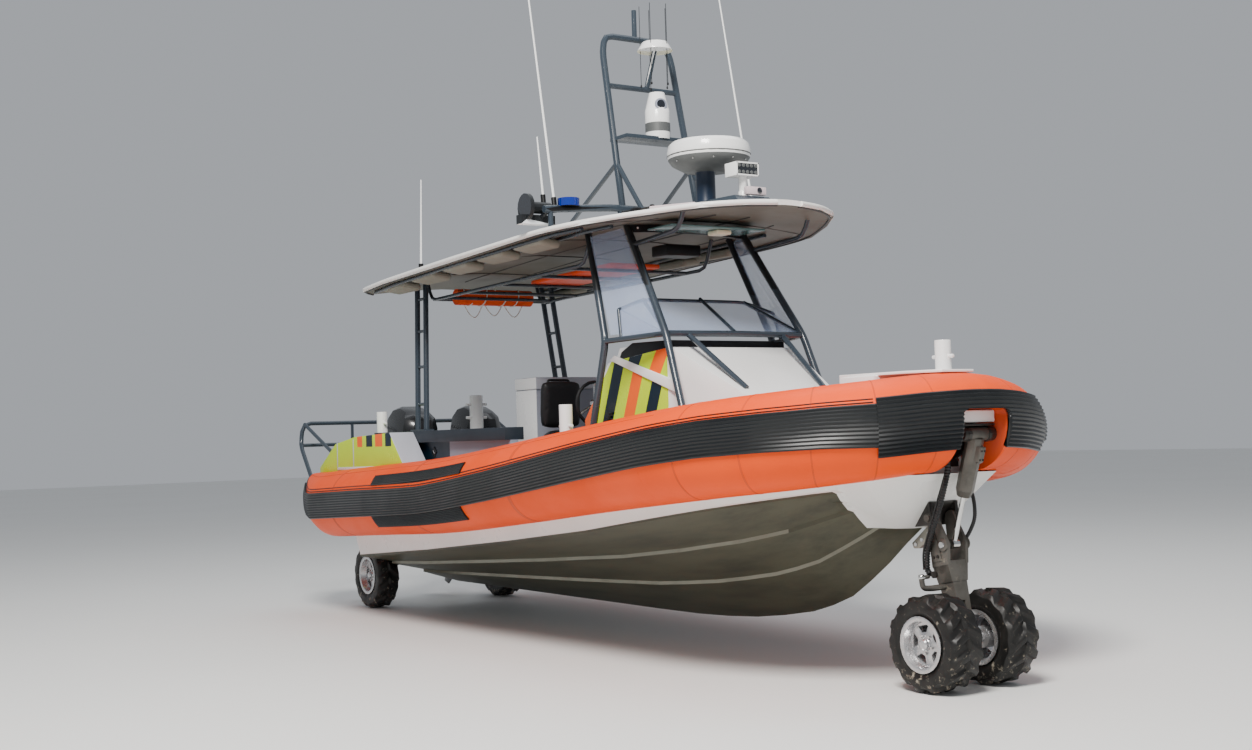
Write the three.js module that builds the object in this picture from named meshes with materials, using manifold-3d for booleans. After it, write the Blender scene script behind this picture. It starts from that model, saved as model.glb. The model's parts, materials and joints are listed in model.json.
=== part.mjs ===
// Amphibious rigid inflatable inshore rescue boat on retractable wheels.
// Millimetres. X runs forward from the transom, Y to port, Z up from the floor under the tyres.
import * as THREE from 'three';
import { mergeVertices } from 'three/addons/utils/BufferGeometryUtils.js';
import Module from 'manifold-3d';

const wasm = await Module();
wasm.setup();

// Driving dimensions
const GAP = 0.4;
const ORIGIN_X = 2860.812;
const DECK_Z = 980;
const FOREDECK_Z = 1400;
const FOREDECK_THICK = 40;
const FOREDECK = [[4560, -740], [5500, -700], [6000, -480], [6190, -300], [6190, 300], [6000, 480],
  [5500, 700], [4560, 740]];
const WELL_FORE = 4560;
const WELL_HALF = 785;
const SLOT_HALF = 165;
const SLOT_TOP = 1640;

const TUBE_SIDES = 20;
// Inflated collar: centre line x, y, z and radius, from the aft end to the bow centre
const COLLAR = [
  { x: -782, y: 1100, z: 1215, r: 40 },
  { x: -750, y: 1100, z: 1205, r: 72 },
  { x: -640, y: 1100, z: 1146, r: 138 },
  { x: -480, y: 1100, z: 1072, r: 216 },
  { x: -320, y: 1100, z: 1016, r: 276 },
  { x: -180, y: 1100, z: 1000, r: 301 },
  { x: 800, y: 1100, z: 1050, r: 302 },
  { x: 2080, y: 1100, z: 1115, r: 302 },
  { x: 3200, y: 1100, z: 1215, r: 302 },
  { x: 4340, y: 1100, z: 1330, r: 302 },
  { x: 5200, y: 1095, z: 1410, r: 302 },
  { x: 5640, y: 1030, z: 1450, r: 300 },
  { x: 5970, y: 895, z: 1480, r: 298 },
  { x: 6215, y: 705, z: 1508, r: 296 },
  { x: 6380, y: 510, z: 1532, r: 294 },
  { x: 6490, y: 300, z: 1555, r: 292 },
  { x: 6545, y: 110, z: 1568, r: 290 },
  { x: 6550, y: 0, z: 1570, r: 290 },
];
const SEAM_X = 5200;

// Hull stations: keel height, chine and topside edge, from the transom to the forefoot
const HULL_STATIONS = [
  { x: 0, keel: 220, chineY: 985, chineZ: 530, topY: 1040, topZ: 790 },
  { x: 1400, keel: 220, chineY: 990, chineZ: 640, topY: 1040, topZ: 860 },
  { x: 2800, keel: 220, chineY: 985, chineZ: 770, topY: 1040, topZ: 950 },
  { x: 3900, keel: 222, chineY: 960, chineZ: 885, topY: 1035, topZ: 1050 },
  { x: 4600, keel: 256, chineY: 925, chineZ: 980, topY: 1030, topZ: 1130 },
  { x: 5200, keel: 340, chineY: 860, chineZ: 1060, topY: 1010, topZ: 1200 },
  { x: 5600, keel: 470, chineY: 760, chineZ: 1110, topY: 930, topZ: 1240 },
  { x: 5950, keel: 700, chineY: 600, chineZ: 1155, topY: 780, topZ: 1270 },
  { x: 6250, keel: 930, chineY: 380, chineZ: 1190, topY: 560, topZ: 1300 },
  { x: 6400, keel: 1060, chineY: 240, chineZ: 1215, topY: 400, topZ: 1310 },
];

// Bow leg: hinge, ram eye, ram trunnion and wheel centre
const HINGE = { x: 6416, z: 1000 };
const EYE = { x: 6510, z: 843 };
const TRUNNION = { x: 6722, z: 1494 };
const BOW_AXLE = { x: 6560, z: 285 };
const BOW_TYRE = { radius: 285, width: 258, inner: 102, seat: 152 };
const COLLAR_S = 392;

// Rear legs
const REAR_PIVOT = { x: -95, z: 760 };
const REAR_AXLE = { x: -350, z: 310 };
const REAR_TYRE = { radius: 310, width: 212, middle: 673, seat: 165 };
const REAR_LEG = { inner: 522, outer: 560 };

// Twin outboards, drawn in their running position about the tilt pivot
const MOTOR_Y = 340;
const TILT_PIVOT = { x: -220, z: 1010 };
const REST_TILT = 18;
const STEER_DX = -150;
const PROP = { dx: -550, dz: -880, radius: 180 };

// Windscreen and roof frame corners
const A_TOP = [3868, 520, 3085];
const A_FOOT = [4460, 610, 2240];
const B_TOP = [3550, 650, 3060];
const B_FOOT = [3925, 764, 2220];
const POST_R = 27;

const DEG = Math.PI / 180;
const boat = new THREE.Group();
boat.name = 'inshore_rescue_boat';
boat.position.x = -ORIGIN_X;

const PAINT = {
  orange: { color: 0xe8622a, roughness: 0.5, metalness: 0 },
  rubber: { color: 0x2b2f31, roughness: 0.8, metalness: 0 },
  hullWhite: { color: 0xe4e4e0, roughness: 0.35, metalness: 0 },
  slate: { color: 0x4a5763, roughness: 0.45, metalness: 0.1 },
  black: { color: 0x1b1c1e, roughness: 0.6, metalness: 0 },
  yellow: { color: 0xd8e01c, roughness: 0.45, metalness: 0 },
  leg: { color: 0x7b7468, roughness: 0.5, metalness: 0.5 },
  chrome: { color: 0xcfcfcf, roughness: 0.15, metalness: 1 },
  alloy: { color: 0xb9bbb8, roughness: 0.35, metalness: 0.9 },
  glass: { color: 0xa9b8d0, roughness: 0.05, metalness: 0 },
  grey: { color: 0xa7adb5, roughness: 0.45, metalness: 0 },
  darkGrey: { color: 0x565b60, roughness: 0.5, metalness: 0 },
  beige: { color: 0xd9d3c6, roughness: 0.5, metalness: 0 },
};

// Turns a closed geometry into a solid that can be joined and cut
function solid(geometry) {
  const bare = geometry.clone();
  bare.deleteAttribute('normal');
  bare.deleteAttribute('uv');
  const merged = mergeVertices(bare, 1e-3);
  const corners = merged.index.array;
  const kept = [];
  for (let i = 0; i < corners.length; i += 3) {
    const [a, b, c] = [corners[i], corners[i + 1], corners[i + 2]];
    if (a !== b && b !== c && c !== a) {
      kept.push(a, b, c);
    }
  }
  const mesh = new wasm.Mesh({
    numProp: 3,
    vertProperties: new Float32Array(merged.attributes.position.array),
    triVerts: new Uint32Array(kept),
  });
  return new wasm.Manifold(mesh);
}

function join(...solids) {
  return solids.reduce((whole, next) => whole.add(next));
}

function geometryOf(body) {
  const mesh = body.getMesh();
  const geometry = new THREE.BufferGeometry();
  geometry.setAttribute('position', new THREE.BufferAttribute(new Float32Array(mesh.vertProperties), 3));
  geometry.setIndex(new THREE.BufferAttribute(new Uint32Array(mesh.triVerts), 1));
  return geometry;
}

function piece(name, body, paint, parent = boat) {
  const geometry = body.isBufferGeometry ? body : geometryOf(body);
  const mesh = new THREE.Mesh(geometry, new THREE.MeshStandardMaterial(paint));
  mesh.name = name;
  parent.add(mesh);
  return mesh;
}

// Box from its lowest to its highest corner
function block(x0, x1, y0, y1, z0, z1) {
  const geometry = new THREE.BoxGeometry(x1 - x0, y1 - y0, z1 - z0);
  geometry.translate((x0 + x1) / 2, (y0 + y1) / 2, (z0 + z1) / 2);
  return solid(geometry);
}

// Round bar between two points, tapering if the radii differ
function bar(from, to, radius, sides = 8, endRadius = radius) {
  const start = new THREE.Vector3(...from);
  const end = new THREE.Vector3(...to);
  const geometry = new THREE.CylinderGeometry(endRadius, radius, start.distanceTo(end), sides);
  const turn = new THREE.Quaternion().setFromUnitVectors(
    new THREE.Vector3(0, 1, 0),
    end.clone().sub(start).normalize(),
  );
  geometry.applyQuaternion(turn);
  const middle = start.add(end).multiplyScalar(0.5);
  geometry.translate(middle.x, middle.y, middle.z);
  return solid(geometry);
}

// Triangles of a flat outline, all turning the way that the outline turns
function capTriangles(outline) {
  const turn = Math.sign(THREE.ShapeUtils.area(outline));
  return THREE.ShapeUtils.triangulateShape(outline, []).map(([a, b, c]) => {
    const way = Math.sign(THREE.ShapeUtils.area([outline[a], outline[b], outline[c]]));
    return way === turn ? [a, b, c] : [a, c, b];
  });
}

// Closed body through rings of points that all turn the same way
function loft(rings, flatten) {
  const count = rings[0].length;
  const positions = rings.flat().flatMap((p) => [p.x, p.y, p.z]);
  const index = [];
  for (let ring = 0; ring < rings.length - 1; ring += 1) {
    for (let i = 0; i < count; i += 1) {
      const a = ring * count + i;
      const b = ring * count + ((i + 1) % count);
      index.push(a, b, b + count, a, b + count, a + count);
    }
  }
  const last = (rings.length - 1) * count;
  const endRing = rings[rings.length - 1];
  capTriangles(rings[0].map(flatten)).forEach(([a, b, c]) => index.push(a, c, b));
  capTriangles(endRing.map(flatten)).forEach(([a, b, c]) => index.push(last + a, last + b, last + c));
  const geometry = new THREE.BufferGeometry();
  geometry.setAttribute('position', new THREE.BufferAttribute(new Float32Array(positions), 3));
  geometry.setIndex(index);
  const body = solid(geometry);
  if (body.volume() > 0) {
    return body;
  }
  const flipped = [];
  for (let i = 0; i < index.length; i += 3) {
    flipped.push(index[i], index[i + 2], index[i + 1]);
  }
  geometry.setIndex(flipped);
  return solid(geometry);
}

// Bent round tube through corner points, with each corner rounded
function pipe(corners, radius, bend = 90, sides = 8, steps = 2) {
  const points = corners.map((c) => new THREE.Vector3(...c));
  const path = [points[0]];
  for (let i = 1; i < points.length - 1; i += 1) {
    const toBack = points[i - 1].clone().sub(points[i]);
    const toFront = points[i + 1].clone().sub(points[i]);
    const reach = Math.min(bend, toBack.length() * 0.45, toFront.length() * 0.45);
    const enter = points[i].clone().add(toBack.setLength(reach));
    const leave = points[i].clone().add(toFront.setLength(reach));
    const curve = new THREE.QuadraticBezierCurve3(enter, points[i], leave);
    path.push(...curve.getPoints(steps));
  }
  path.push(points[points.length - 1]);
  const direction = (i) => {
    const before = path[Math.max(i - 1, 0)];
    const after = path[Math.min(i + 1, path.length - 1)];
    return after.clone().sub(before).normalize();
  };
  const first = direction(0);
  const side = Math.abs(first.z) < 0.9 ? new THREE.Vector3(0, 0, 1) : new THREE.Vector3(1, 0, 0);
  const axis = side.cross(first).normalize();
  const rings = path.map((centre, i) => {
    const along = direction(i);
    axis.sub(along.clone().multiplyScalar(axis.dot(along))).normalize();
    const other = along.clone().cross(axis);
    return Array.from({ length: sides }, (_, k) => {
      const angle = (2 * Math.PI * k) / sides;
      return centre
        .clone()
        .add(axis.clone().multiplyScalar(radius * Math.cos(angle)))
        .add(other.clone().multiplyScalar(radius * Math.sin(angle)));
    });
  });
  const cap = Array.from({ length: sides }, (_, k) => {
    const angle = (2 * Math.PI * k) / sides;
    return new THREE.Vector2(Math.cos(angle), Math.sin(angle));
  });
  let next = 0;
  return loft(rings, () => cap[next++ % sides]);
}

// Side profile in X and Z, drawn as points, extruded between two values of Y
function sidePlate(profile, y0, y1) {
  const shape = new THREE.Shape(profile.map(([x, z]) => new THREE.Vector2(x, z)));
  const geometry = new THREE.ExtrudeGeometry(shape, { depth: y1 - y0, bevelEnabled: false });
  geometry.rotateX(Math.PI / 2);
  geometry.translate(0, y1, 0);
  return solid(geometry);
}

// Plan outline in X and Y, extruded between two heights
function planPlate(outline, z0, z1) {
  const shape = new THREE.Shape(outline.map(([x, y]) => new THREE.Vector2(x, y)));
  const geometry = new THREE.ExtrudeGeometry(shape, { depth: z1 - z0, bevelEnabled: false });
  geometry.translate(0, 0, z0);
  return solid(geometry);
}

// Turned body about an axis along Y, from a closed profile of radius and distance
function turned(profile, x, y, z, segments = 32) {
  const points = profile.map(([r, d]) => new THREE.Vector2(r, d));
  const geometry = new THREE.LatheGeometry(points, segments);
  geometry.translate(x, y, z);
  let body = solid(geometry);
  if (body.volume() < 0) {
    geometry.index.array.reverse();
    body = solid(geometry);
  }
  return body;
}

function mirrored(body) {
  return body.mirror([0, 1, 0]);
}

function bothSides(body) {
  return body.add(mirrored(body));
}

const SIDES = [
  { name: 'starboard', sign: -1 },
  { name: 'port', sign: 1 },
];

const onSide = (body, sign) => (sign > 0 ? body : mirrored(body));

// Ring of the collar at one row of its table, fattened for clearance
function collarRing(row, before, after, grow) {
  const along = new THREE.Vector3(after.x - before.x, after.y - before.y, 0).normalize();
  const out = new THREE.Vector3(-along.y, along.x, 0);
  return Array.from({ length: TUBE_SIDES }, (_, k) => {
    const angle = (2 * Math.PI * (k + 0.5)) / TUBE_SIDES;
    const radius = row.r + grow;
    return new THREE.Vector3(
      row.x + out.x * radius * Math.cos(angle),
      row.y + out.y * radius * Math.cos(angle),
      row.z + radius * Math.sin(angle),
    );
  });
}

const collarCap = Array.from({ length: TUBE_SIDES }, (_, k) => {
  const angle = (2 * Math.PI * (k + 0.5)) / TUBE_SIDES;
  return new THREE.Vector2(Math.cos(angle), Math.sin(angle));
});

function collarLoft(rows, grow) {
  const rings = rows.map((row, i) => {
    const before = rows[Math.max(i - 1, 0)];
    const after = rows[Math.min(i + 1, rows.length - 1)];
    return collarRing(row, before, after, grow);
  });
  let next = 0;
  return loft(rings, () => collarCap[next++ % TUBE_SIDES]);
}

// Whole run of the collar, from the port end round the bow to the starboard end
const collarRows = [...COLLAR, ...COLLAR.slice(0, -1).reverse().map((row) => ({ ...row, y: -row.y }))];
const legSlot = block(6150, 7000, -SLOT_HALF, SLOT_HALF, 900, SLOT_TOP);
const collar = collarLoft(collarRows, 0);
const collarRoom = collarLoft(collarRows, GAP);
const sideTube = collar.intersect(block(-2000, SEAM_X - GAP, 100, 2000, 500, 2000));
const bowTube = collar.intersect(block(SEAM_X + GAP, 8000, -2000, 2000, 500, 2000)).subtract(legSlot);

// Strip of ribbed rubber on the outside of the collar between two angles above the beam
function strake(rows, low, high, ribs, proud, hollow) {
  const steps = ribs * 2;
  const rings = rows.map((row, i) => {
    const [from, to] = [row.low ?? low, row.high ?? high];
    const angleAt = (k) => (from + ((to - from) * k) / steps) * DEG;
    const before = rows[Math.max(i - 1, 0)];
    const after = rows[Math.min(i + 1, rows.length - 1)];
    const along = new THREE.Vector3(after.x - before.x, after.y - before.y, 0).normalize();
    const out = new THREE.Vector3(-along.y, along.x, 0);
    const point = (radius, angle) => new THREE.Vector3(
      row.x + out.x * radius * Math.cos(angle),
      row.y + out.y * radius * Math.cos(angle),
      row.z + radius * Math.sin(angle),
    );
    const outer = [];
    for (let k = 0; k <= steps; k += 1) {
      outer.push(point(row.r + (k % 2 ? proud : hollow), angleAt(k)));
    }
    const inner = [];
    for (let k = steps; k >= 0; k -= 2) {
      inner.push(point(row.r - 12, angleAt(k)));
    }
    return [...outer, ...inner];
  });
  const count = rings[0].length;
  const flat = rings[0].map((p) => new THREE.Vector2(Math.hypot(p.x - rows[0].x, p.y - rows[0].y), p.z));
  let next = 0;
  return loft(rings, () => flat[next++ % count]);
}

// Rows of a table with one more row between each two, on a smooth curve through them all
function faired(rows) {
  const between = (i, key) => {
    const at = (k) => rows[Math.min(Math.max(k, 0), rows.length - 1)][key];
    return (9 * (at(i) + at(i + 1)) - at(i - 1) - at(i + 2)) / 16;
  };
  return rows.flatMap((row, i) => {
    if (i === rows.length - 1) {
      return [row];
    }
    const extra = Object.fromEntries(Object.keys(row).map((key) => [key, between(i, key)]));
    return [row, { ...extra, x: (row.x + rows[i + 1].x) / 2 }];
  });
}
const HULL = faired(HULL_STATIONS);

// Hull: one welded aluminium shell, decked over, with its transom and forefoot
function makeHull() {
  const section = (s) => [
    [0, s.keel], [s.chineY * 0.36, s.keel + (s.chineZ - s.keel) * 0.36],
    [s.chineY * 0.36, s.keel + (s.chineZ - s.keel) * 0.36 + 24],
    [s.chineY * 0.68, s.keel + (s.chineZ - s.keel) * 0.68],
    [s.chineY * 0.68, s.keel + (s.chineZ - s.keel) * 0.68 + 24],
    [s.chineY, s.chineZ - 12], [s.chineY, s.chineZ + 12], [s.topY, s.topZ],
    [Math.min(WELL_HALF, s.topY - 60), s.topZ + 40],
  ];
  const rings = HULL.map((s) => {
    const half = section(s);
    const other = half.slice(1).reverse().map(([y, z]) => [-y, z]);
    return [...half, ...other].map(([y, z]) => new THREE.Vector3(s.x, y, z));
  });
  const shell = loft(rings, (p) => new THREE.Vector2(p.y, p.z));
  const plinthLow = [[5960, 215], [6220, 190], [6300, 110]];
  const plinthHigh = [[5960, 640], [6330, 560], [6560, 330]];
  const ring = (half, z) => [...half, ...half.slice().reverse().map(([x, y]) => [x, -y])]
    .map(([x, y]) => new THREE.Vector3(x, y, z));
  const plinth = loft([ring(plinthLow, 935), ring(plinthHigh, 1265)], (p) => new THREE.Vector2(p.x, p.y));
  const stemWall = block(6200, 6440, -SLOT_HALF + 6, SLOT_HALF - 6, 1200, SLOT_TOP - 6);
  const aftDeck = block(0, WELL_FORE, -WELL_HALF, WELL_HALF, 890, DECK_Z);
  const well = block(-10, WELL_FORE, -WELL_HALF, WELL_HALF, DECK_Z, 2000);
  const bowBlock = planPlate(FOREDECK, 1100, FOREDECK_Z - FOREDECK_THICK - GAP);
  return join(shell, plinth, stemWall, aftDeck, bowBlock)
    .subtract(collarRoom.subtract(legSlot))
    .subtract(well);
}

piece('hull', makeHull(), PAINT.hullWhite);

// Collar of three air tubes
SIDES.forEach(({ name, sign }) => {
  piece(`tube_${name}`, onSide(sideTube, sign), PAINT.orange);
});
piece('tube_bow', bowTube, PAINT.orange);

// Ribbed rubbing strakes and the wide bow fender: degrees above the beam at each row of the collar
const STRAKE_REACH = [
  { row: 2, low: -22, high: 20 }, { row: 3, low: -22, high: 20 }, { row: 4, low: -23, high: 20 },
  { row: 5, low: -24, high: 20 }, { row: 6, low: -25, high: 18 }, { row: 7, low: -25, high: 15 },
  { row: 8, low: -22, high: 19 }, { row: 9, low: -17, high: 26 }, { row: 10, low: -12, high: 31 },
  { row: 11, low: -10, high: 33 }, { row: 12, low: -11, high: 33 }, { row: 13, low: -14, high: 32 },
  { row: 14, low: -19, high: 30 }, { row: 15, low: -20, high: 30 },
];
const FENDER = { low: -31, high: 37, first: 14 };
const PATCH = { aft: 1190, fore: 2800, low: -47 };
const strakeRows = STRAKE_REACH.map(({ row, low, high }) => ({ ...COLLAR[row], low, high }));
const fenderRows = collarRows.slice(FENDER.first, -FENDER.first);

// The collar's row at any distance forward
function collarAt(x) {
  const i = COLLAR.findIndex((row) => row.x >= x);
  const [a, b] = [COLLAR[i - 1], COLLAR[i]];
  const t = (x - a.x) / (b.x - a.x);
  return { x, y: a.y + (b.y - a.y) * t, z: a.z + (b.z - a.z) * t, r: a.r + (b.r - a.r) * t };
}
const patchRows = [PATCH.aft, (PATCH.aft + PATCH.fore) / 2, PATCH.fore].map(collarAt);
const strakes = join(
  bothSides(strake(strakeRows, 0, 0, 4, 20, 12)),
  bothSides(strake(patchRows, PATCH.low, -20, 4, 16, 10)),
  strake(fenderRows, FENDER.low, FENDER.high, 7, 26, 16),
).subtract(collarRoom).subtract(legSlot);
piece('rub_strake', strakes, PAINT.rubber);

// Bulwarks with their caps and bollards
const BULWARK = { wallIn: 715, capIn: 665, capOut: 835, capLow: 1540, capTop: 1640, aft: 40, fore: 2530 };
const LOW_CAP = { low: 1430, top: 1500, fore: 4540 };
const BOLLARDS = [
  { x: 105, y: 784, base: 1640, top: 1830, radius: 48 },
  { x: 3325, y: 750, base: 1500, top: 1790, radius: 50 },
];

function bollard(x, y, base, top, radius) {
  const barZ = base + (top - base) * 0.45;
  const pin = bar([x - radius - 35, y, barZ], [x + radius + 35, y, barZ], 13, 8);
  return join(bar([x, y, base - 5], [x, y, top], radius, 12), pin);
}

function makeBulwark() {
  const b = BULWARK;
  const high = join(
    block(b.aft, b.fore, b.wallIn, WELL_HALF, DECK_Z + GAP, b.capLow + 1),
    block(b.aft, b.fore, b.capIn, b.capOut, b.capLow, b.capTop),
  );
  const low = join(
    block(b.fore - 1, LOW_CAP.fore, b.wallIn, WELL_HALF, DECK_Z + GAP, LOW_CAP.low + 1),
    block(b.fore - 1, LOW_CAP.fore, b.capIn, b.capOut, LOW_CAP.low, LOW_CAP.top),
  );
  const posts = BOLLARDS.map((p) => bollard(p.x, p.y, p.base, p.top, p.radius));
  return join(high, low, ...posts).subtract(collarRoom);
}

SIDES.forEach(({ name, sign }) => {
  piece(`bulwark_${name}`, onSide(makeBulwark(), sign), PAINT.slate);
});

// Quarter boxes over the after collar
const QUARTER_OUT = 1065;
const QUARTER = [
  [-720, 1330], [-720, 1240], [-300, 1130], [1165, 1150], [1165, 1330], [875, 1633], [116, 1607], [-334, 1549],
];
SIDES.forEach(({ name, sign }) => {
  const room = join(collarRoom, block(-2000, 2600, 0, BULWARK.capOut + GAP, 900, 1700));
  const box = sidePlate(QUARTER, 800, QUARTER_OUT).subtract(room);
  piece(`quarter_box_${name}`, onSide(box, sign), PAINT.yellow);
});

// Foredeck with its locker, step plate and bow bollard
function makeForedeck() {
  const deck = planPlate(FOREDECK, FOREDECK_Z - FOREDECK_THICK, FOREDECK_Z);
  const locker = block(5880, 6190, -300, 300, FOREDECK_Z - 1, 1862);
  const plate = planPlate([[5880, -300], [6400, -240], [6600, -130], [6600, 130], [6400, 240], [5880, 300]],
    1862, 1880);
  const post = bollard(6480, 0, 1880, 2060, 50);
  return join(deck, locker, plate, post).subtract(collarRoom);
}
piece('foredeck', makeForedeck(), PAINT.hullWhite);

// Console with its sloping nose, dash and helm wheel
const CONSOLE = { half: 550, aft: 3270, topAft: [3657, 2088], topFore: [4417, 2150], nose: 5480 };
function makeConsole() {
  const c = CONSOLE;
  const side = sidePlate([
    [c.aft, DECK_Z + GAP], [WELL_FORE - 5, DECK_Z + GAP], [WELL_FORE - 5, FOREDECK_Z + GAP],
    [c.nose, FOREDECK_Z + GAP], [c.nose, 1560], c.topFore, c.topAft, [c.aft, 1670], [c.aft + 40, 1300],
  ], -c.half, c.half);
  const plan = planPlate([[3000, -c.half], [4380, -c.half], [c.nose + 20, -300], [c.nose + 20, 300],
    [4380, c.half], [3000, c.half]], 900, 2300);
  return side.intersect(plan);
}
const HELM = { x: 3100, y: -350, z: 1800, radius: 165, hub: 30 };
const dashPanel = sidePlate([[3262, 1700], [3300, 1672], [3655, 2055], [3655, 2089], [3648, 2089],
  [3560, 2060]].map(([x, z]) => [x - 22, z + 22]), -500, 500);
const dashHood = sidePlate([[3600, 2100], [4300, 2160], [4300, 2200], [3660, 2190]], -470, 470);
const column = bar([HELM.x + HELM.hub + GAP, HELM.y, HELM.z], [3420, HELM.y, HELM.z], 28, 12);
piece('console', join(makeConsole(), dashPanel, dashHood, column), PAINT.hullWhite);

function turnedX(profile, x, y, z, segments) {
  return turned(profile, 0, 0, 0, segments).rotate([0, 0, -90]).translate([x, y, z]);
}
const ringProfile = (radius, tube, count) => Array.from({ length: count + 1 }, (_, k) => {
  const angle = (2 * Math.PI * (k % count)) / count;
  return [radius + tube * Math.cos(angle), tube * Math.sin(angle)];
});
const helmSpokes = [90, 210, 330].map((degrees) => bar(
  [HELM.x, HELM.y, HELM.z],
  [HELM.x, HELM.y + HELM.radius * Math.cos(degrees * DEG), HELM.z + HELM.radius * Math.sin(degrees * DEG)],
  11, 8,
));
piece('steering_wheel', join(
  turnedX(ringProfile(HELM.radius, 14, 5), HELM.x, HELM.y, HELM.z, 20),
  bar([HELM.x - 15, HELM.y, HELM.z], [HELM.x + HELM.hub, HELM.y, HELM.z], 36, 12),
  ...helmSpokes,
), PAINT.black);

// Helm seats on boxed pedestals
const SEAT = { y: 350, half: 190, aft: 2520, fore: 2868 };
SIDES.forEach(({ name, sign }) => {
  const low = SEAT.y - SEAT.half;
  const high = SEAT.y + SEAT.half;
  const seat = join(
    block(SEAT.aft + 50, SEAT.fore - 60, low + 30, high - 30, DECK_Z + GAP, 1480),
    block(SEAT.aft + 10, SEAT.fore, low, high, 1470, 1610),
    sidePlate([[SEAT.aft + 20, 1600], [SEAT.aft + 130, 1600], [SEAT.aft + 90, 2010], [SEAT.aft, 2010]], low, high),
  );
  piece(`helm_seat_${name}`, onSide(seat, sign), PAINT.black);
});

// After locker with its lid, and the towing post
const LOCKER = { aft: 1760, fore: 2110, half: 300, top: 1950 };
piece('locker', block(LOCKER.aft, LOCKER.fore, -LOCKER.half, LOCKER.half, DECK_Z + GAP, LOCKER.top), PAINT.grey);
piece('locker_lid', block(LOCKER.aft, LOCKER.fore + 15, -LOCKER.half - 8, LOCKER.half + 8,
  LOCKER.top + GAP, LOCKER.top + 100), PAINT.hullWhite);
piece('tow_post', join(
  bar([470, 0, DECK_Z + GAP], [470, 0, 1960], 62, 14),
  bar([470, -105, 1875], [470, 105, 1875], 13, 8),
  bar([470, -105, 1755], [470, 105, 1755], 13, 8),
  block(370, 570, -100, 100, DECK_Z + GAP, DECK_Z + 20),
), PAINT.hullWhite);

// Stern frame over the outboards
const STERN_TOP = [-1112, 1072, 1757];
const STERN_FOOT = [-690, 1160, 1225];
const sternPipes = join(
  pipe([[-690, -1160, 1225], [-1118, -1098, 1545], [-1112, -1072, 1757], STERN_TOP, [-1118, 1098, 1545],
    STERN_FOOT], 21, 80),
  pipe([[-1118, -1070, 1545], [-1118, 1070, 1545]], 18),
  ...[-560, 560].map((y) => bar([-1115, y, 1545], [-1112, y, 1757], 16)),
  ...[-1, 1].map((sign) => bar([-1112, sign * 1055, 1750], [-470, sign * 1040, 1470], 18)),
);
const quarterRoom = bothSides(sidePlate(QUARTER, 800 - GAP, QUARTER_OUT + GAP));
piece('stern_frame', sternPipes.subtract(join(collarRoom, quarterRoom)), PAINT.slate);

// Hardtop: half width, edge height and crown at each station
const ROOF = [
  { x: 300, half: 940, edge: 2890, crown: 70 },
  { x: 420, half: 1080, edge: 2895, crown: 80 },
  { x: 900, half: 1105, edge: 2920, crown: 85 },
  { x: 2190, half: 1105, edge: 2970, crown: 90 },
  { x: 3620, half: 1105, edge: 3012, crown: 80 },
  { x: 4100, half: 1030, edge: 3020, crown: 70 },
  { x: 4550, half: 800, edge: 3038, crown: 50 },
  { x: 4880, half: 580, edge: 3054, crown: 35 },
  { x: 5035, half: 330, edge: 3064, crown: 18 },
  { x: 5090, half: 110, edge: 3068, crown: 5 },
];
const ROOF_EDGE = 36;
function roofRing(row, lift, thick) {
  const across = [-1, -0.62, -0.25, 0.25, 0.62, 1];
  const arch = (f) => row.crown * (1 - f * f);
  const top = across.map((f) => new THREE.Vector3(row.x, row.half * f, row.edge + thick + lift + arch(f)));
  const low = across.map((f) => new THREE.Vector3(row.x, row.half * f, row.edge + lift + arch(f))).reverse();
  return [...low, ...top];
}
const hardtop = loft(ROOF.map((row) => roofRing(row, 0, ROOF_EDGE)), (p) => new THREE.Vector2(p.y, p.z));
const ROOF_REACH = 500;
const roofAndBelow = loft(ROOF.map((row) => roofRing(row, -ROOF_REACH, ROOF_REACH + ROOF_EDGE + GAP)),
  (p) => new THREE.Vector2(p.y, p.z));
const roofAndAbove = loft(ROOF.map((row) => roofRing(row, -GAP, ROOF_REACH)), (p) => new THREE.Vector2(p.y, p.z));
const sternWhip = join(
  bar([1450, -1000, 2960], [1450, -1000, 3040], 22),
  bar([1450, -1000, 3030], [1490, -1000, 3745], 9, 6, 5),
);
piece('hardtop', join(hardtop, sternWhip), PAINT.beige);

// Roof frame in one welded run: posts, struts to the deck and the low windscreen's tubes
const STRUT_FOOT = [4820, 665, FOREDECK_Z - 40];
const B_BASE = [3655, 750, LOW_CAP.top - 40];
const SCREEN = { topX: 3964, topZ: 2522, topHalf: 457, aftX: 4010, aftZ: 2440, aftHalf: 700 };
const WING_FOOT = [4069, 722, 2225];
function makeRoofFrame(grow) {
  const r = SCREEN;
  const half = join(
    pipe([A_TOP, A_FOOT, STRUT_FOOT], POST_R + grow, 60),
    pipe([B_TOP, B_FOOT, B_BASE], POST_R + grow, 60),
    pipe([B_FOOT, A_FOOT], 20 + grow),
    pipe([[3990, 545, 2915], [4570, 552, 2950], [4670, 552, 3150]], 17 + grow, 70),
    block(4770, 4870, 620, 710, FOREDECK_Z - 10, FOREDECK_Z + 14),
    block(B_BASE[0] - 50, B_BASE[0] + 50, 705, 795, LOW_CAP.top - 10, LOW_CAP.top + 14),
    bar([r.topX, r.topHalf, r.topZ], A_FOOT, 14 + grow),
    bar([r.aftX, r.aftHalf, r.aftZ], WING_FOOT, 13 + grow),
    bar([4450, 420, 2240], [4990, 335, 1840], 20 + grow),
  );
  return join(
    bothSides(half),
    pipe([[4460, -590, 2240], [4450, 0, 2246], [4460, 590, 2240]], 22 + grow, 200),
    bar([r.topX, 50, r.topZ + 18], [4450, -10, 2262], 12 + grow),
    pipe([[r.aftX, -r.aftHalf, r.aftZ], [r.topX, -r.topHalf, r.topZ], [r.topX, r.topHalf, r.topZ],
      [r.aftX, r.aftHalf, r.aftZ]], 13 + grow, 60),
  );
}
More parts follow.
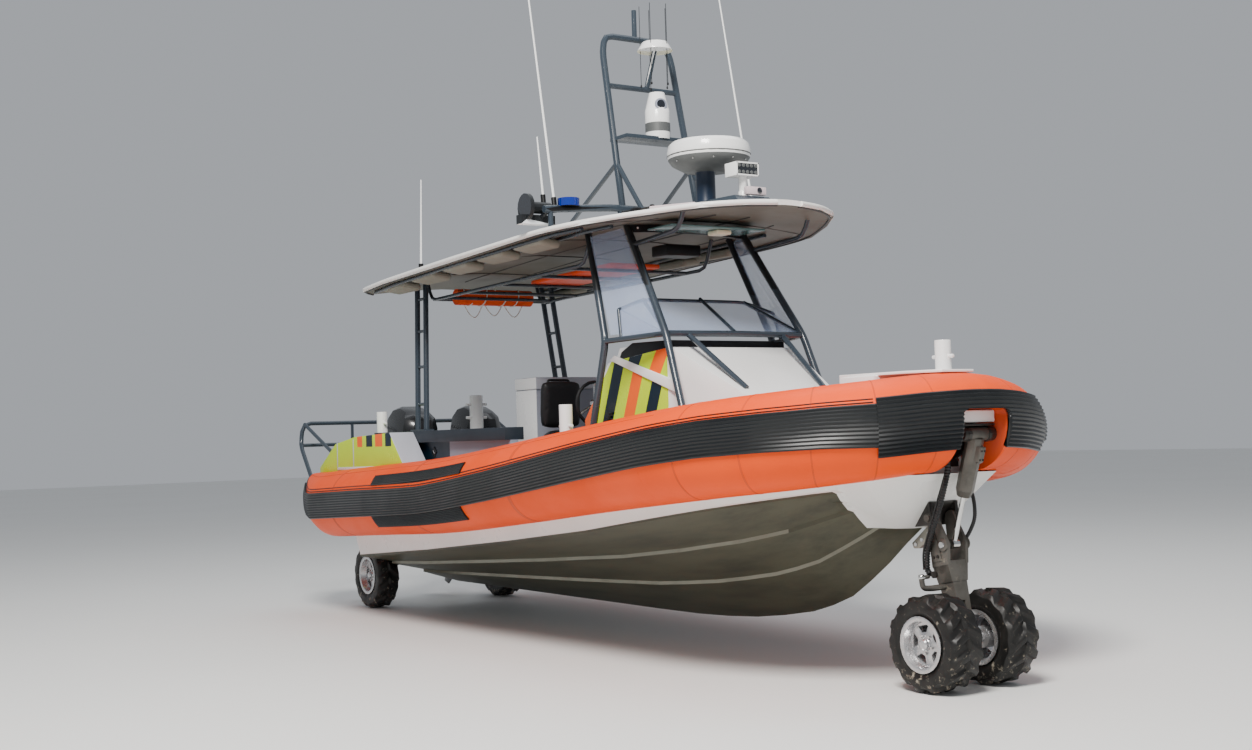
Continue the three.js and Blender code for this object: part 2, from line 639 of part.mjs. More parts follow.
const consoleRoom = makeConsole().translate([0, 0, GAP]);
const footRoom = bothSides(join(
  block(4600, 5000, 560, 800, 1300, FOREDECK_Z + GAP),
  block(B_BASE[0] - 150, B_BASE[0] + 150, 640, 900, 1300, LOW_CAP.top + GAP),
));
piece('roof_frame', makeRoofFrame(0).subtract(join(roofAndAbove, consoleRoom, footRoom)), PAINT.slate);

// Paired after posts with their rungs
SIDES.forEach(({ name, sign }) => {
  const feet = [790, 960];
  const rise = [-170, -110, 1380];
  const along = (x, t) => [x + rise[0] * t, 750 + rise[1] * t, 1600 + rise[2] * t];
  const parts = join(
    ...feet.map((x) => bar(along(x, 0), along(x, 1), 25, 10)),
    ...[0.2, 0.44, 0.67, 0.88].map((t) => bar(along(feet[0], t), along(feet[1], t), 14)),
    block(740, 1010, 700, 800, BULWARK.capTop - 10, BULWARK.capTop + 14),
  );
  const capRoom = block(600, 1200, 600, 900, 1500, BULWARK.capTop + GAP);
  piece(`after_posts_${name}`, onSide(parts.subtract(join(roofAndAbove, capRoom)), sign), PAINT.slate);
});

// Windscreen pane with its side wings, and the tall side glass between the posts
function pane(corners, thickness) {
  const [a, b, c] = corners.map((p) => new THREE.Vector3(...p));
  const normal = b.clone().sub(a).cross(c.clone().sub(a)).setLength(thickness / 2);
  const face = (sign) => corners.map((p) => new THREE.Vector3(...p).add(normal.clone().multiplyScalar(sign)));
  const origin = a.clone();
  const u = b.clone().sub(a).normalize();
  const v = normal.clone().normalize().cross(u);
  return loft([face(-1), face(1)], (p) => {
    const q = p.clone().sub(origin);
    return new THREE.Vector2(q.dot(u), q.dot(v));
  });
}
const screenZ = (x) => SCREEN.topZ - (x - SCREEN.topX) * 0.572;
const PANE = { aft: 3972, fore: 4440, aftHalf: 455, foreHalf: 600, thick: 8 };
const frontPane = pane([
  [PANE.fore, -PANE.foreHalf, screenZ(PANE.fore)], [PANE.fore, PANE.foreHalf, screenZ(PANE.fore)],
  [PANE.aft, PANE.aftHalf, screenZ(PANE.aft)], [PANE.aft, -PANE.aftHalf, screenZ(PANE.aft)],
], PANE.thick);
const frameRoom = makeRoofFrame(GAP);
piece('windscreen', frontPane.subtract(frameRoom), PAINT.glass);
SIDES.forEach(({ name, sign }) => {
  const r = SCREEN;
  const corners = [A_FOOT, WING_FOOT, [r.aftX + 4, r.aftHalf - 4, r.aftZ - 3], [r.topX, r.topHalf, r.topZ]];
  const wingRoom = pane(corners, PANE.thick + 2 * GAP);
  const glass = pane([[4405, 613, 2262], [3960, 740, 2262], [3600, 662, 3010], [3830, 527, 3050]], PANE.thick);
  piece(`wing_pane_${name}`, onSide(pane(corners, PANE.thick).subtract(frameRoom), sign), PAINT.glass);
  piece(`side_glass_${name}`, onSide(glass.subtract(join(frameRoom, wingRoom, roofAndAbove)), sign), PAINT.glass);
});

// Handrails under the hardtop, and the racks on top of it
const RAIL = { aft: 740, fore: 3350, y: 560, radius: 15, low: 2806, slope: 0.013 };
const railZ = (x) => RAIL.low + (x - RAIL.aft) * RAIL.slope;
const ROLL = { x: 860, z: 2830, radius: 72, half: 380 };
const CRADLE = 83.4;
const BOARD = { aft: 1950, fore: 3200, half: 230, thick: 34 };
const RACK_BARS = [1400, 2000, 2600, 3100];
piece('roof_rails', join(
  ...[-1, 1].map((sign) => pipe([[RAIL.aft - 80, sign * RAIL.y, 3000], [RAIL.aft, sign * RAIL.y, railZ(RAIL.aft)],
    [RAIL.fore, sign * RAIL.y, railZ(RAIL.fore)], [RAIL.fore + 100, sign * RAIL.y, 3080]], RAIL.radius, 80)),
  ...[-CRADLE, CRADLE].map((dx) => bar([ROLL.x + dx, -RAIL.y, ROLL.z - 19], [ROLL.x + dx, RAIL.y, ROLL.z - 19], 14)),
  ...RACK_BARS.map((x) => bar([x, -RAIL.y, railZ(x)], [x, RAIL.y, railZ(x)], 14)),
).subtract(roofAndAbove), PAINT.slate);

// Light bar across the hardtop with beacons, horn, work light and whip aerials
const BAR = { x: 3642, low: 3190, high: 3232, half: 1075 };
const barZ = (y) => BAR.high - (BAR.high - BAR.low) * Math.max(0, (Math.abs(y) - 500) / (BAR.half - 500));
const BEACONS = [{ x: 3650, y: -870 }, { x: 3650, y: 950 }];
const WHIPS = [
  { x: 3590, y: -950, foot: 3200, top: 5480, lean: -0.184 },
  { x: 3450, y: -960, foot: 3240, top: 3770, lean: -0.14 },
  { x: 3590, y: 890, foot: 3200, top: 5480, lean: -0.2 },
];
piece('light_bar', join(
  pipe([[BAR.x, -BAR.half, BAR.low], [BAR.x, -500, BAR.high], [BAR.x, 500, BAR.high],
    [BAR.x, BAR.half, BAR.low]], 28, 120),
  ...[-1020, -420, 420, 1020].map((y) => bar([BAR.x, y, 2990], [BAR.x, y, barZ(y)], 20)),
  ...BEACONS.map((b) => bar([b.x, b.y, barZ(b.y) + 15], [b.x, b.y, barZ(b.y) + 96], 80, 14, 72)),
  ...WHIPS.map((w) => bar([w.x, w.y, w.foot], [w.x + w.lean * (w.top - w.foot), w.y, w.top], 10, 6, 5)),
  ...WHIPS.map((w) => bar([w.x, w.y, w.foot - 20], [w.x + w.lean * 90, w.y, w.foot + 90], 19)),
  bar([3450, -960, 3235], [BAR.x, -960, barZ(960)], 15),
  bar([3490, -940, 3222], [3490, -1125, 3222], 44, 12),
  bar([3490, -1118, 3222], [3490, -1150, 3222], 100, 16),
  bar([3490, -1000, 3222], [BAR.x, -1000, barZ(1000)], 18),
  block(3440, 3520, -1190, -910, 3098, 3165),
  bar([3500, -1020, 3150], [BAR.x, -1020, barZ(1020)], 18),
).subtract(roofAndBelow), PAINT.slate);

// Mast with its shelf, thermal camera and direction finder
const MAST = { footX: 3600, footZ: 3090, topX: 3280, topZ: 4630 };
const mastX = (z) => MAST.footX + ((MAST.topX - MAST.footX) * (z - MAST.footZ)) / (MAST.topZ - MAST.footZ);
const mastSpread = (z) => 352 - (z - MAST.footZ) * 0.024;
const BRACE_Z = 3600;
const mastCorner = (sign, z) => [mastX(z), sign * mastSpread(z), z];
const mastParts = join(
  pipe([mastCorner(-1, MAST.footZ - 60), mastCorner(-1, 4500), [MAST.topX, -275, MAST.topZ],
    [MAST.topX, 275, MAST.topZ], mastCorner(1, 4500), mastCorner(1, MAST.footZ - 60)], 26, 110),
  bar(mastCorner(-1, 4220), mastCorner(1, 4220), 22),
  block(mastX(3790) - 45, mastX(3790) + 185, -340, 340, 3775, 3802),
  ...[-1, 1].flatMap((sign) => [
    bar(mastCorner(sign, BRACE_Z), [2560, sign * 380, 3060], 18),
    bar(mastCorner(sign, BRACE_Z), [3985, sign * 380, 3060], 18),
  ]),
  bar([mastX(4220), 40, 4220], [mastX(4220) + 130, 40, 4500], 20),
  bar([mastX(4220) + 130, 40, 4495], [mastX(4220) + 130, 40, 4590], 125, 16, 90),
  bar([MAST.topX, 0, 4630], [MAST.topX, 0, 4860], 20),
  bar([3560, 0, 3790], [3560, 0, 4010], 96, 18),
  bar([3560, 0, 4009], [3560, 0, 4150], 96, 18, 60),
);
piece('mast', mastParts.subtract(roofAndBelow), PAINT.slate);

// Radar on its pedestal, and the searchlight before it
const RADOME = { x: 4200, radius: 305, low: 3448, high: 3672 };
function radomeProfile() {
  const { radius, low, high } = RADOME;
  return [[0, low], [radius * 0.62, low], [radius * 0.9, low + 48], [radius * 0.98, low + 84], [radius, low + 104],
    [radius, high - 84], [radius * 0.97, high - 40], [radius * 0.88, high - 14], [radius * 0.6, high - 2], [0, high]];
}
const upright = (profile, x, y, segments) => turned(profile, 0, 0, 0, segments)
  .rotate([90, 0, 0]).translate([x, y, 0]);
const LAMP = { x: 4592, z: 3240 };
piece('radar', join(
  upright(radomeProfile(), RADOME.x, 0, 28),
  bar([4150, 0, 3150], [4150, 0, RADOME.low + 5], 72, 12),
  loft([
    [[3880, -330, 3000], [4900, -210, 3000], [4900, 210, 3000], [3880, 330, 3000]],
    [[4030, -230, 3195], [4690, -150, 3195], [4690, 150, 3195], [4030, 230, 3195]],
  ].map((ring) => ring.map((p) => new THREE.Vector3(...p))), (p) => new THREE.Vector2(p.x, p.y)),
  bar([LAMP.x, 0, 3180], [LAMP.x, 0, LAMP.z], 36, 12),
).subtract(roofAndBelow), PAINT.hullWhite);

piece('searchlight', join(
  bar([LAMP.x, 0, LAMP.z + GAP], [LAMP.x, 0, LAMP.z + 115], 30, 12),
  block(LAMP.x - 75, LAMP.x + 58, -98, 98, LAMP.z + 105, LAMP.z + 200),
), PAINT.hullWhite);

// Gear stowed under the hardtop
piece('rescue_roll', bar([ROLL.x, -ROLL.half, ROLL.z], [ROLL.x, ROLL.half, ROLL.z], ROLL.radius, 20), PAINT.orange);
const boardZ = (x) => railZ(x) + 14 + GAP;
piece('stretcher_board', sidePlate([[BOARD.aft, boardZ(BOARD.aft)], [BOARD.fore, boardZ(BOARD.fore)],
  [BOARD.fore, boardZ(BOARD.fore) + BOARD.thick], [BOARD.aft, boardZ(BOARD.aft) + BOARD.thick]],
-BOARD.half, BOARD.half), PAINT.orange);

// Transom brackets that carry the outboards and the rear legs
const bracketFor = (sign) => {
  const y = sign * MOTOR_Y;
  const clamp = join(
    block(-170, -GAP, y - 105, y + 105, 560, 960),
    ...[-95, 65].map((dy) => block(-250, -165, y + dy, y + dy + 30, 800, 1045)),
  );
  const p = REAR_PIVOT;
  const near = sign > 0 ? [470, REAR_LEG.inner - GAP] : [-REAR_LEG.inner + GAP, -470];
  const far = sign > 0 ? [REAR_LEG.outer + 12, 690] : [-690, -REAR_LEG.outer - 12];
  const drum = (y0, y1, r) => bar([p.x, y0, p.z], [p.x, y1, p.z], r, 16);
  return join(
    clamp,
    drum(...near, 62),
    block(p.x, -GAP, near[0], near[1], p.z - 62, p.z + 62),
    drum(...far, 85),
    block(p.x, -GAP, far[0], far[1], p.z - 85, p.z + 85),
    drum(Math.min(near[1], far[0], near[0]), Math.max(near[1], far[1]), 18.8),
  );
};
const beam = block(-30, -GAP, -760, 760, 640, 700);
piece('transom_brackets', join(bracketFor(1), bracketFor(-1), beam), PAINT.darkGrey);

// Wheel rim and tyre profiles: radius and distance outboard of the wheel's middle
function rimProfile(seat, half, disc) {
  return [[0, disc], [seat - 26, disc], [seat - 16, -half + 8], [seat + 14, -half + 6],
    [seat - 0.6, -half + 25], [seat - 0.6, half - 25], [seat + 14, half - 6], [seat - 16, half - 8],
    [seat - 26, disc + 36], [0, disc + 40]];
}
const LUGS = 14;
const LUG_STEPS = 4;
const LUG = { depth: 22, skew: 0.62, split: 7, edges: [0, 0.14, 0.5, 0.64] };
// Tyre with slanting lugs, staggered between its two shoulders, about an axis along Y
function lugTyre(seat, half, radius) {
  const step = (k, along) => (Math.floor(k / LUG_STEPS) + along[k % LUG_STEPS]) / LUGS;
  const even = [0, 0.25, 0.5, 0.75];
  const plain = (r, d) => ({ d, at: (k) => [r, step(k, even)] });
  const tread = (high, low, d, stagger) => ({
    d,
    at: (k) => {
      const raised = [1, 2].includes((k + stagger) % LUG_STEPS);
      const slant = (LUG.skew * (Math.abs(d) - LUG.split)) / half / LUGS;
      return [raised ? high : low, step(k, stagger ? even : LUG.edges) + slant];
    },
  });
  const low = radius - LUG.depth;
  const rows = [
    plain(seat, -half + 26), plain(seat, half - 26), plain(seat + 45, half - 1),
    tread(radius - 30, low - 16, half - 4, 0), tread(radius - 4, low - 2, half - 26, 0),
    tread(radius, low, LUG.split, 0), tread(radius, low, -LUG.split, 2),
    tread(radius - 4, low - 2, -half + 26, 2), tread(radius - 30, low - 16, -half + 4, 2),
    plain(seat + 45, -half + 1),
  ];
  const count = LUGS * LUG_STEPS;
  const rings = Array.from({ length: count }, (_, k) => rows.map(({ d, at }) => {
    const [r, turn] = at(k);
    return [r * Math.sin(turn * 2 * Math.PI), d, r * Math.cos(turn * 2 * Math.PI)];
  }));
  const index = [];
  for (let k = 0; k < count; k += 1) {
    for (let i = 0; i < rows.length; i += 1) {
      const next = (i + 1) % rows.length;
      const [a, b] = [k * rows.length + i, k * rows.length + next];
      const [c, d] = [((k + 1) % count) * rows.length + next, ((k + 1) % count) * rows.length + i];
      index.push(a, b, c, a, c, d);
    }
  }
  const geometry = new THREE.BufferGeometry();
  geometry.setAttribute('position', new THREE.BufferAttribute(new Float32Array(rings.flat(2)), 3));
  geometry.setIndex(index);
  return solid(geometry);
}
// Five windows between the spokes of a rim
function spokeWindows(x, z, y0, y1, inner, outer) {
  const windows = [0, 72, 144, 216, 288].map((turn) => {
    const corner = (r, degrees) => {
      const angle = (turn + degrees) * DEG;
      return [x + r * Math.sin(angle), z + r * Math.cos(angle)];
    };
    return sidePlate([corner(inner, -14), corner(outer, -22), corner(outer, 22), corner(inner, 14)], y0, y1);
  });
  return join(...windows);
}
const WHEEL_SEGMENTS = LUGS * 2;

// Bow leg and everything that it carries
const bowAngle = -Math.atan2(BOW_AXLE.x - HINGE.x, HINGE.z - BOW_AXLE.z);
const bowReach = Math.hypot(BOW_AXLE.x - HINGE.x, HINGE.z - BOW_AXLE.z);
const eyeLocal = (() => {
  const dx = EYE.x - HINGE.x;
  const dz = EYE.z - HINGE.z;
  return { x: dx * Math.cos(bowAngle) - dz * Math.sin(bowAngle), z: dx * Math.sin(bowAngle) + dz * Math.cos(bowAngle) };
})();
const bowFrame = new THREE.Group();
bowFrame.position.set(HINGE.x, 0, HINGE.z);
bowFrame.rotation.y = bowAngle;
boat.add(bowFrame);

const EAR = { inner: 63, outer: 87 };
const earProfile = [[-38, 0], [-27, 27], [0, 38], [30, 27], [44, -20], [eyeLocal.x + 26, eyeLocal.z + 26],
  [eyeLocal.x + 36, eyeLocal.z], [eyeLocal.x + 26, eyeLocal.z - 30], [66, -290], [-62, -290], [-50, -120]];
const level = (corners, z) => corners.map(([x, y]) => new THREE.Vector3(x, y, z));
const legBox = loft([
  level([[-62, -EAR.outer], [66, -EAR.outer], [66, EAR.outer], [-62, EAR.outer]], -268),
  level([[-60, -64], [58, -64], [58, 64], [-60, 64]], -COLLAR_S),
], (p) => new THREE.Vector2(p.x, p.y));
piece('bow_leg', join(
  sidePlate(earProfile, EAR.inner, EAR.outer),
  sidePlate(earProfile, -EAR.outer, -EAR.inner),
  legBox,
), PAINT.leg, bowFrame);

const FOOT = { top: -COLLAR_S - GAP, bore: 32, boss: 56 };
const footBlade = loft([
  level([[-58, -58], [56, -58], [56, 58], [-58, 58]], FOOT.top),
  level([[-48, -46], [52, -46], [52, 46], [-48, 46]], -bowReach),
], (p) => new THREE.Vector2(p.x, p.y));
const steeringArm = join(
  pipe([[-20, -40, -412], [-45, -150, -412], [-62, -192, -405], [-62, -192, -335]], 12.5, 40),
  bar([-62, -200, -342], [-62, -128, -342], 10),
);
piece('bow_foot', join(
  footBlade,
  bar([0, -62, -bowReach], [0, 62, -bowReach], FOOT.boss, 20),
  steeringArm,
).subtract(block(-80, 80, -15, 15, -600, -505))
  .subtract(bar([0, -80, -bowReach], [0, 80, -bowReach], FOOT.bore, 20)), PAINT.leg, bowFrame);

const wheelHalf = BOW_TYRE.width / 2;
const wheelMiddle = BOW_TYRE.inner + wheelHalf;
const bowRim = turned(rimProfile(BOW_TYRE.seat, wheelHalf, 34), 0, wheelMiddle, -bowReach, WHEEL_SEGMENTS)
  .subtract(spokeWindows(0, -bowReach, wheelMiddle, wheelMiddle + 100, 72, 118));
const bowHub = bar([0, 140, -bowReach], [0, wheelMiddle + 40, -bowReach], 66, 16);
piece('bow_rims', join(
  bothSides(join(bowRim, bowHub)),
  bar([0, -wheelMiddle, -bowReach], [0, wheelMiddle, -bowReach], FOOT.bore - 0.8, 16),
), PAINT.alloy, bowFrame);
SIDES.forEach(({ name, sign }) => {
  const tyre = lugTyre(BOW_TYRE.seat, wheelHalf, BOW_TYRE.radius).translate([0, wheelMiddle, -bowReach]);
  piece(`bow_tyre_${name}`, onSide(tyre, sign), PAINT.rubber, bowFrame);
});

// Bow ram between its trunnion in the slot and the eye on the leg
const ramAngle = Math.atan2(TRUNNION.x - EYE.x, TRUNNION.z - EYE.z);
const ramLength = Math.hypot(TRUNNION.x - EYE.x, TRUNNION.z - EYE.z);
const ramFrame = new THREE.Group();
ramFrame.position.set(TRUNNION.x, 0, TRUNNION.z);
ramFrame.rotation.y = ramAngle;
boat.add(ramFrame);
const RAM = { radius: 54, end: -386, rod: 16, bore: 16.6, rodTop: -322 };
piece('bow_ram_barrel', join(
  bar([0, 0, RAM.end + 40], [0, 0, -20], RAM.radius, 8),
  bar([0, 0, RAM.end], [0, 0, RAM.end + 45], 40, 8, RAM.radius),
  bar([0, -69.6, 0], [0, 69.6, 0], 42, 16),
  block(38, 74, -24, 24, -150, -62),
).subtract(bar([0, 0, RAM.end - 5], [0, 0, -80], RAM.bore, 12)), PAINT.leg, ramFrame);
piece('bow_ram_rod', join(
  bar([0, 0, -ramLength], [0, 0, RAM.rodTop], RAM.rod, 12),
  bar([0, -26, -ramLength], [0, 26, -ramLength], 28, 16),
), PAINT.chrome, ramFrame);

// Hinge bracket on the sloping forefoot, and the ram's bracket in the slot
const forefootX = (z) => 6300 + (z - 935) * 0.788;
const hullRoom = makeHull().translate([GAP, 0, 0]);
const hingeEar = sidePlate([[forefootX(1095) - 20, 1095], [forefootX(945) - 20, 945], [6400, 952],
  [6440, 962], [6462, 1000], [6440, 1040], [forefootX(1095) + 10, 1095]], 93, 118);
const hingePlate = sidePlate([[forefootX(1095) - 20, 1095], [forefootX(945) - 20, 945],
  [forefootX(945) + 9, 945], [forefootX(1095) + 9, 1095]], -118, 118);
const hingePin = bar([HINGE.x, -118, HINGE.z], [HINGE.x, -EAR.outer - GAP, HINGE.z], 26, 12);
piece('bow_hinge_bracket', join(bothSides(join(hingeEar, hingePin)), hingePlate).subtract(hullRoom),
  PAINT.darkGrey);

const trunnionEar = sidePlate([[6425, 1330], [6690, 1452], [6722, 1446], [6758, 1465], [6770, 1494],
  [6755, 1527], [6722, 1542], [6425, 1590]], 72, 98);
const trunnionBoss = bar([TRUNNION.x, -128, TRUNNION.z], [TRUNNION.x, -70, TRUNNION.z], 44, 16);
piece('bow_ram_bracket', join(
  bothSides(join(trunnionEar, trunnionBoss)),
  block(6425, 6456, -118, 118, 1300, 1595),
).subtract(hullRoom), PAINT.darkGrey);

// Rear legs, each a swinging plate with one wheel outboard
SIDES.forEach(({ name, sign }) => {
  const p = REAR_PIVOT;
  const a = REAR_AXLE;
  const { inner, outer } = REAR_LEG;
  const slope = Math.atan2(p.x - a.x, p.z - a.z);
  const edge = (x, z, r, turn) => [x + r * Math.cos(slope + turn), z - r * Math.sin(slope + turn)];
  const plate = sidePlate([
    edge(p.x, p.z, 60, 0), edge(a.x, a.z, 52, 0), edge(a.x, a.z, 52, Math.PI), edge(p.x, p.z, 60, Math.PI),
  ], inner, outer);
  const leg = join(
    plate,
    bar([p.x, inner, p.z], [p.x, outer, p.z], 62, 20),
    bar([a.x, inner, a.z], [a.x, outer, a.z], 55, 20),
  ).subtract(bar([p.x, inner - 5, p.z], [p.x, outer + 5, p.z], 20, 12));
  piece(`rear_leg_${name}`, onSide(leg, sign), PAINT.leg);

  const t = REAR_TYRE;
  const rim = join(
    turned(rimProfile(t.seat, t.width / 2, 10), a.x, t.middle, a.z, WHEEL_SEGMENTS)
      .subtract(spokeWindows(a.x, a.z, t.middle, t.middle + 100, 66, 130)),
    bar([a.x, outer + GAP, a.z], [a.x, t.middle + 20, a.z], 50, 16),
  );
  piece(`rear_rim_${name}`, onSide(rim, sign), PAINT.alloy);
  const tyre = lugTyre(t.seat, t.width / 2, t.radius).translate([a.x, t.middle, a.z]);
  piece(`rear_tyre_${name}`, onSide(tyre, sign), PAINT.rubber);
});

// Twin outboards, tilted up as they park
SIDES.forEach(({ name, sign }) => {
  const frame = new THREE.Group();
  frame.position.set(TILT_PIVOT.x, sign * MOTOR_Y, TILT_PIVOT.z);
  frame.rotation.y = REST_TILT * DEG;
  boat.add(frame);
  const swivel = join(
    bar([0, -64.6, 0], [0, 64.6, 0], 30, 16),
    block(-115, 0, -36, 36, -28, 28),
    bar([-STEER_DX * -1, 0, -330], [STEER_DX, 0, 40], 42, 16),
    block(STEER_DX, -60, -30, 30, -330, -20),
  );
  piece(`outboard_swivel_${name}`, swivel, PAINT.darkGrey, frame);

  const cowl = loft([
    { z: 118, fore: 20, aft: -400, half: 125 },
    { z: 210, fore: 60, aft: -420, half: 160 },
    { z: 470, fore: 72, aft: -430, half: 180 },
    { z: 690, fore: 60, aft: -420, half: 178 },
    { z: 780, fore: 20, aft: -375, half: 158 },
    { z: 820, fore: -40, aft: -310, half: 120 },
  ].map(({ z, fore, aft, half }) => [
    [fore, -half * 0.55], [fore, half * 0.55], [fore - 70, half], [aft + 60, half],
    [aft, half * 0.6], [aft, -half * 0.6], [aft + 60, -half], [fore - 70, -half],
  ].map(([x, y]) => new THREE.Vector3(x, y, z))), (q) => new THREE.Vector2(q.x, q.y));
  const column = loft([
    { z: 120, fore: -205, aft: -370, half: 80 },
    { z: -350, fore: -215, aft: -350, half: 55 },
    { z: -735, fore: -225, aft: -390, half: 38 },
    { z: -860, fore: -215, aft: -400, half: 30 },
  ].map(({ z, fore, aft, half }) => [
    [fore, 0], [fore - 40, half], [aft + 30, half * 0.8], [aft, 0], [aft + 30, -half * 0.8], [fore - 40, -half],
  ].map(([x, y]) => new THREE.Vector3(x, y, z))), (q) => new THREE.Vector2(q.x, q.y));
  const gearcase = turnedX([[0, -490], [44, -488], [60, -400], [60, -240], [36, -160], [0, -130]], 0, 0, PROP.dz, 12);
  const plate = planPlate([[-190, -30], [-190, 30], [-300, 95], [-520, 95], [-520, -95], [-300, -95]], -748, -738);
  const skeg = sidePlate([[-250, -920], [-420, -920], [-430, -1055], [-340, -1055]], -7, 7);
  const mounts = [[40, 110], [-345, -275]].map(([z0, z1]) => block(-240, STEER_DX - 42.6, -40, 40, z0 + 10, z1));
  const motor = join(cowl, column, gearcase, plate, skeg, ...mounts);
  piece(`outboard_motor_${name}`, motor, PAINT.darkGrey, frame);

  const blades = [0, 120, 240].map((turn) => {
    const blade = loft([
      { r: 40, lead: -28, trail: 28, spread: 26 },
      { r: 120, lead: -34, trail: 30, spread: 60 },
      { r: PROP.radius, lead: -14, trail: 14, spread: 26 },
    ].map(({ r, lead, trail, spread }) => [
      [lead, -spread, r], [lead + 9, -spread, r], [trail, spread, r], [trail - 9, spread, r],
    ].map(([x, y, z]) => new THREE.Vector3(x, y, z))), (q) => new THREE.Vector2(q.x, q.y));
    return blade.rotate([turn, 0, 0]);
  });
  const hub = turnedX([[0, -60], [38, -55], [52, 0], [55, 59.6], [0, 59.6]], 0, 0, 0, 12);
  piece(`propeller_${name}`, join(hub, ...blades).translate([PROP.dx, 0, PROP.dz]), PAINT.black, frame);
});

export default boat;
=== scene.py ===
# Amphibious inshore rescue boat on its retractable wheels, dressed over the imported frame.
# Lengths are metres: X forward from the transom, Y to port, Z up from the floor, moved aft by ORIGIN_X.
import json
import math

import bmesh
import bpy
from mathutils import Matrix, Vector

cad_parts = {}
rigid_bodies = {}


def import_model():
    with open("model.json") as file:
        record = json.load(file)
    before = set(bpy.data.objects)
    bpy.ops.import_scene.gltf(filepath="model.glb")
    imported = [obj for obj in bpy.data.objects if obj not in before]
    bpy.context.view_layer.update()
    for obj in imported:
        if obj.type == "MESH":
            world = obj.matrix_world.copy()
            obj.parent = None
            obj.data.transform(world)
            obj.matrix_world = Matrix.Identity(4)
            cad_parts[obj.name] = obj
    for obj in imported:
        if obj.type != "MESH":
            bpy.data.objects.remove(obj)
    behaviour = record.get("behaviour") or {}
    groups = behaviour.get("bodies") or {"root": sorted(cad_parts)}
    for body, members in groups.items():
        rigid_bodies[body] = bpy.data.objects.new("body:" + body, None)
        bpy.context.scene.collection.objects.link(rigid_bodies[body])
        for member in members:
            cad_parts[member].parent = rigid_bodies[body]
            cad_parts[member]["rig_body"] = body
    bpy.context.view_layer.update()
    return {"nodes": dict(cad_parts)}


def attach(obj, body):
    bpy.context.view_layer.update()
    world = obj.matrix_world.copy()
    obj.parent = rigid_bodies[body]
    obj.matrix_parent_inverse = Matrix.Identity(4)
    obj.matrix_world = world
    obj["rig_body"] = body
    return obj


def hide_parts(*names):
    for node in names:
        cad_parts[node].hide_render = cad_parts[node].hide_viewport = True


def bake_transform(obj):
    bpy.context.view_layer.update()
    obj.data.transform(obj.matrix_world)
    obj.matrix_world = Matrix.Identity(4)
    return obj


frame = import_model()
NODES = frame["nodes"]

ORIGIN_X = 2.860812
SHIFT = Vector((ORIGIN_X, 0, 0))
SIDES = {"starboard": -1, "port": 1}
BOTH = (1, -1)
FULL_TURN = 2 * math.pi


def here(x, y, z):
    return Vector((x - ORIGIN_X, y, z))


def turns(count):
    return [FULL_TURN * k / count for k in range(count)]


def new_object(name, data):
    item = bpy.data.objects.new(name, data)
    bpy.context.scene.collection.objects.link(item)
    return item


def applied(piece):
    """Puts the mesh that the object's modifiers make in the place of its own"""
    graph = bpy.context.evaluated_depsgraph_get()
    mesh = bpy.data.meshes.new_from_object(piece.evaluated_get(graph))
    piece.modifiers.clear()
    piece.data = mesh
    return mesh


# ---------------------------------------------------------------- camera, floor and lights
# The photograph's camera, solved in boat metres
CAMERA = {"place": (13.09, -6.615, 1.545), "right": (0.5476, 0.8362, -0.0303),
          "back": (0.8353, -0.5484, -0.0396), "sensor": 36.0, "lens": 43.99, "clip_end": 200}
# Name, place, target, width, height, power and tint of each area light, in scene metres
LIGHTS = [("key", (7.5, -6.5, 10.5), (0.8, 0, 1.2), 3.5, 3.5, 2600, (1, 0.97, 0.93)),
          ("top", (-2, 3, 12), (0, 0, 1.5), 10, 8, 420, (0.93, 0.96, 1))]
SKY = {"tint": (0.82, 0.86, 0.92, 1), "strength": 0.50}
FLOOR_HALF = 60


def make_camera():
    data = bpy.data.cameras.new("camera")
    data.sensor_width = CAMERA["sensor"]
    data.lens = CAMERA["lens"]
    data.clip_end = CAMERA["clip_end"]
    camera = new_object("camera", data)
    right = Vector(CAMERA["right"]).normalized()
    back = Vector(CAMERA["back"]).normalized()
    up = back.cross(right).normalized()
    right = up.cross(back)
    turn = Matrix((right, up, back)).transposed().to_4x4()
    camera.matrix_world = Matrix.Translation(here(*CAMERA["place"])) @ turn
    bpy.context.scene.camera = camera


def area_light(name, place, target, width, height, power, tint):
    data = bpy.data.lights.new(name, "AREA")
    data.shape = "RECTANGLE"
    data.size = width
    data.size_y = height
    data.energy = power
    data.color = tint
    light = new_object(name, data)
    aim = (Vector(target) - Vector(place)).to_track_quat("-Z", "Y")
    light.matrix_world = Matrix.Translation(place) @ aim.to_matrix().to_4x4()


def make_studio():
    world = bpy.data.worlds.new("studio")
    bpy.context.scene.world = world
    world.use_nodes = True
    backdrop = world.node_tree.nodes["Background"]
    backdrop.inputs["Color"].default_value = SKY["tint"]
    backdrop.inputs["Strength"].default_value = SKY["strength"]
    for row in LIGHTS:
        area_light(*row)
    mesh = bpy.data.meshes.new("floor")
    corners = [(FLOOR_HALF * x, FLOOR_HALF * y, 0) for x, y in ((-1, -1), (1, -1), (1, 1), (-1, 1))]
    mesh.from_pydata(corners, [], [(0, 1, 2, 3)])
    floor = new_object("floor", mesh)
    floor.data.materials.append(FINISH["floor"])


# ---------------------------------------------------------------- finishes
def new_group(name, inputs, outputs):
    group = bpy.data.node_groups.new(name, "ShaderNodeTree")
    for label, kind, value in inputs:
        socket = group.interface.new_socket(label, in_out="INPUT", socket_type=kind)
        socket.default_value = value
    for label, kind in outputs:
        group.interface.new_socket(label, in_out="OUTPUT", socket_type=kind)
    source = group.nodes.new("NodeGroupInput")
    sink = group.nodes.new("NodeGroupOutput")
    return group, source, sink


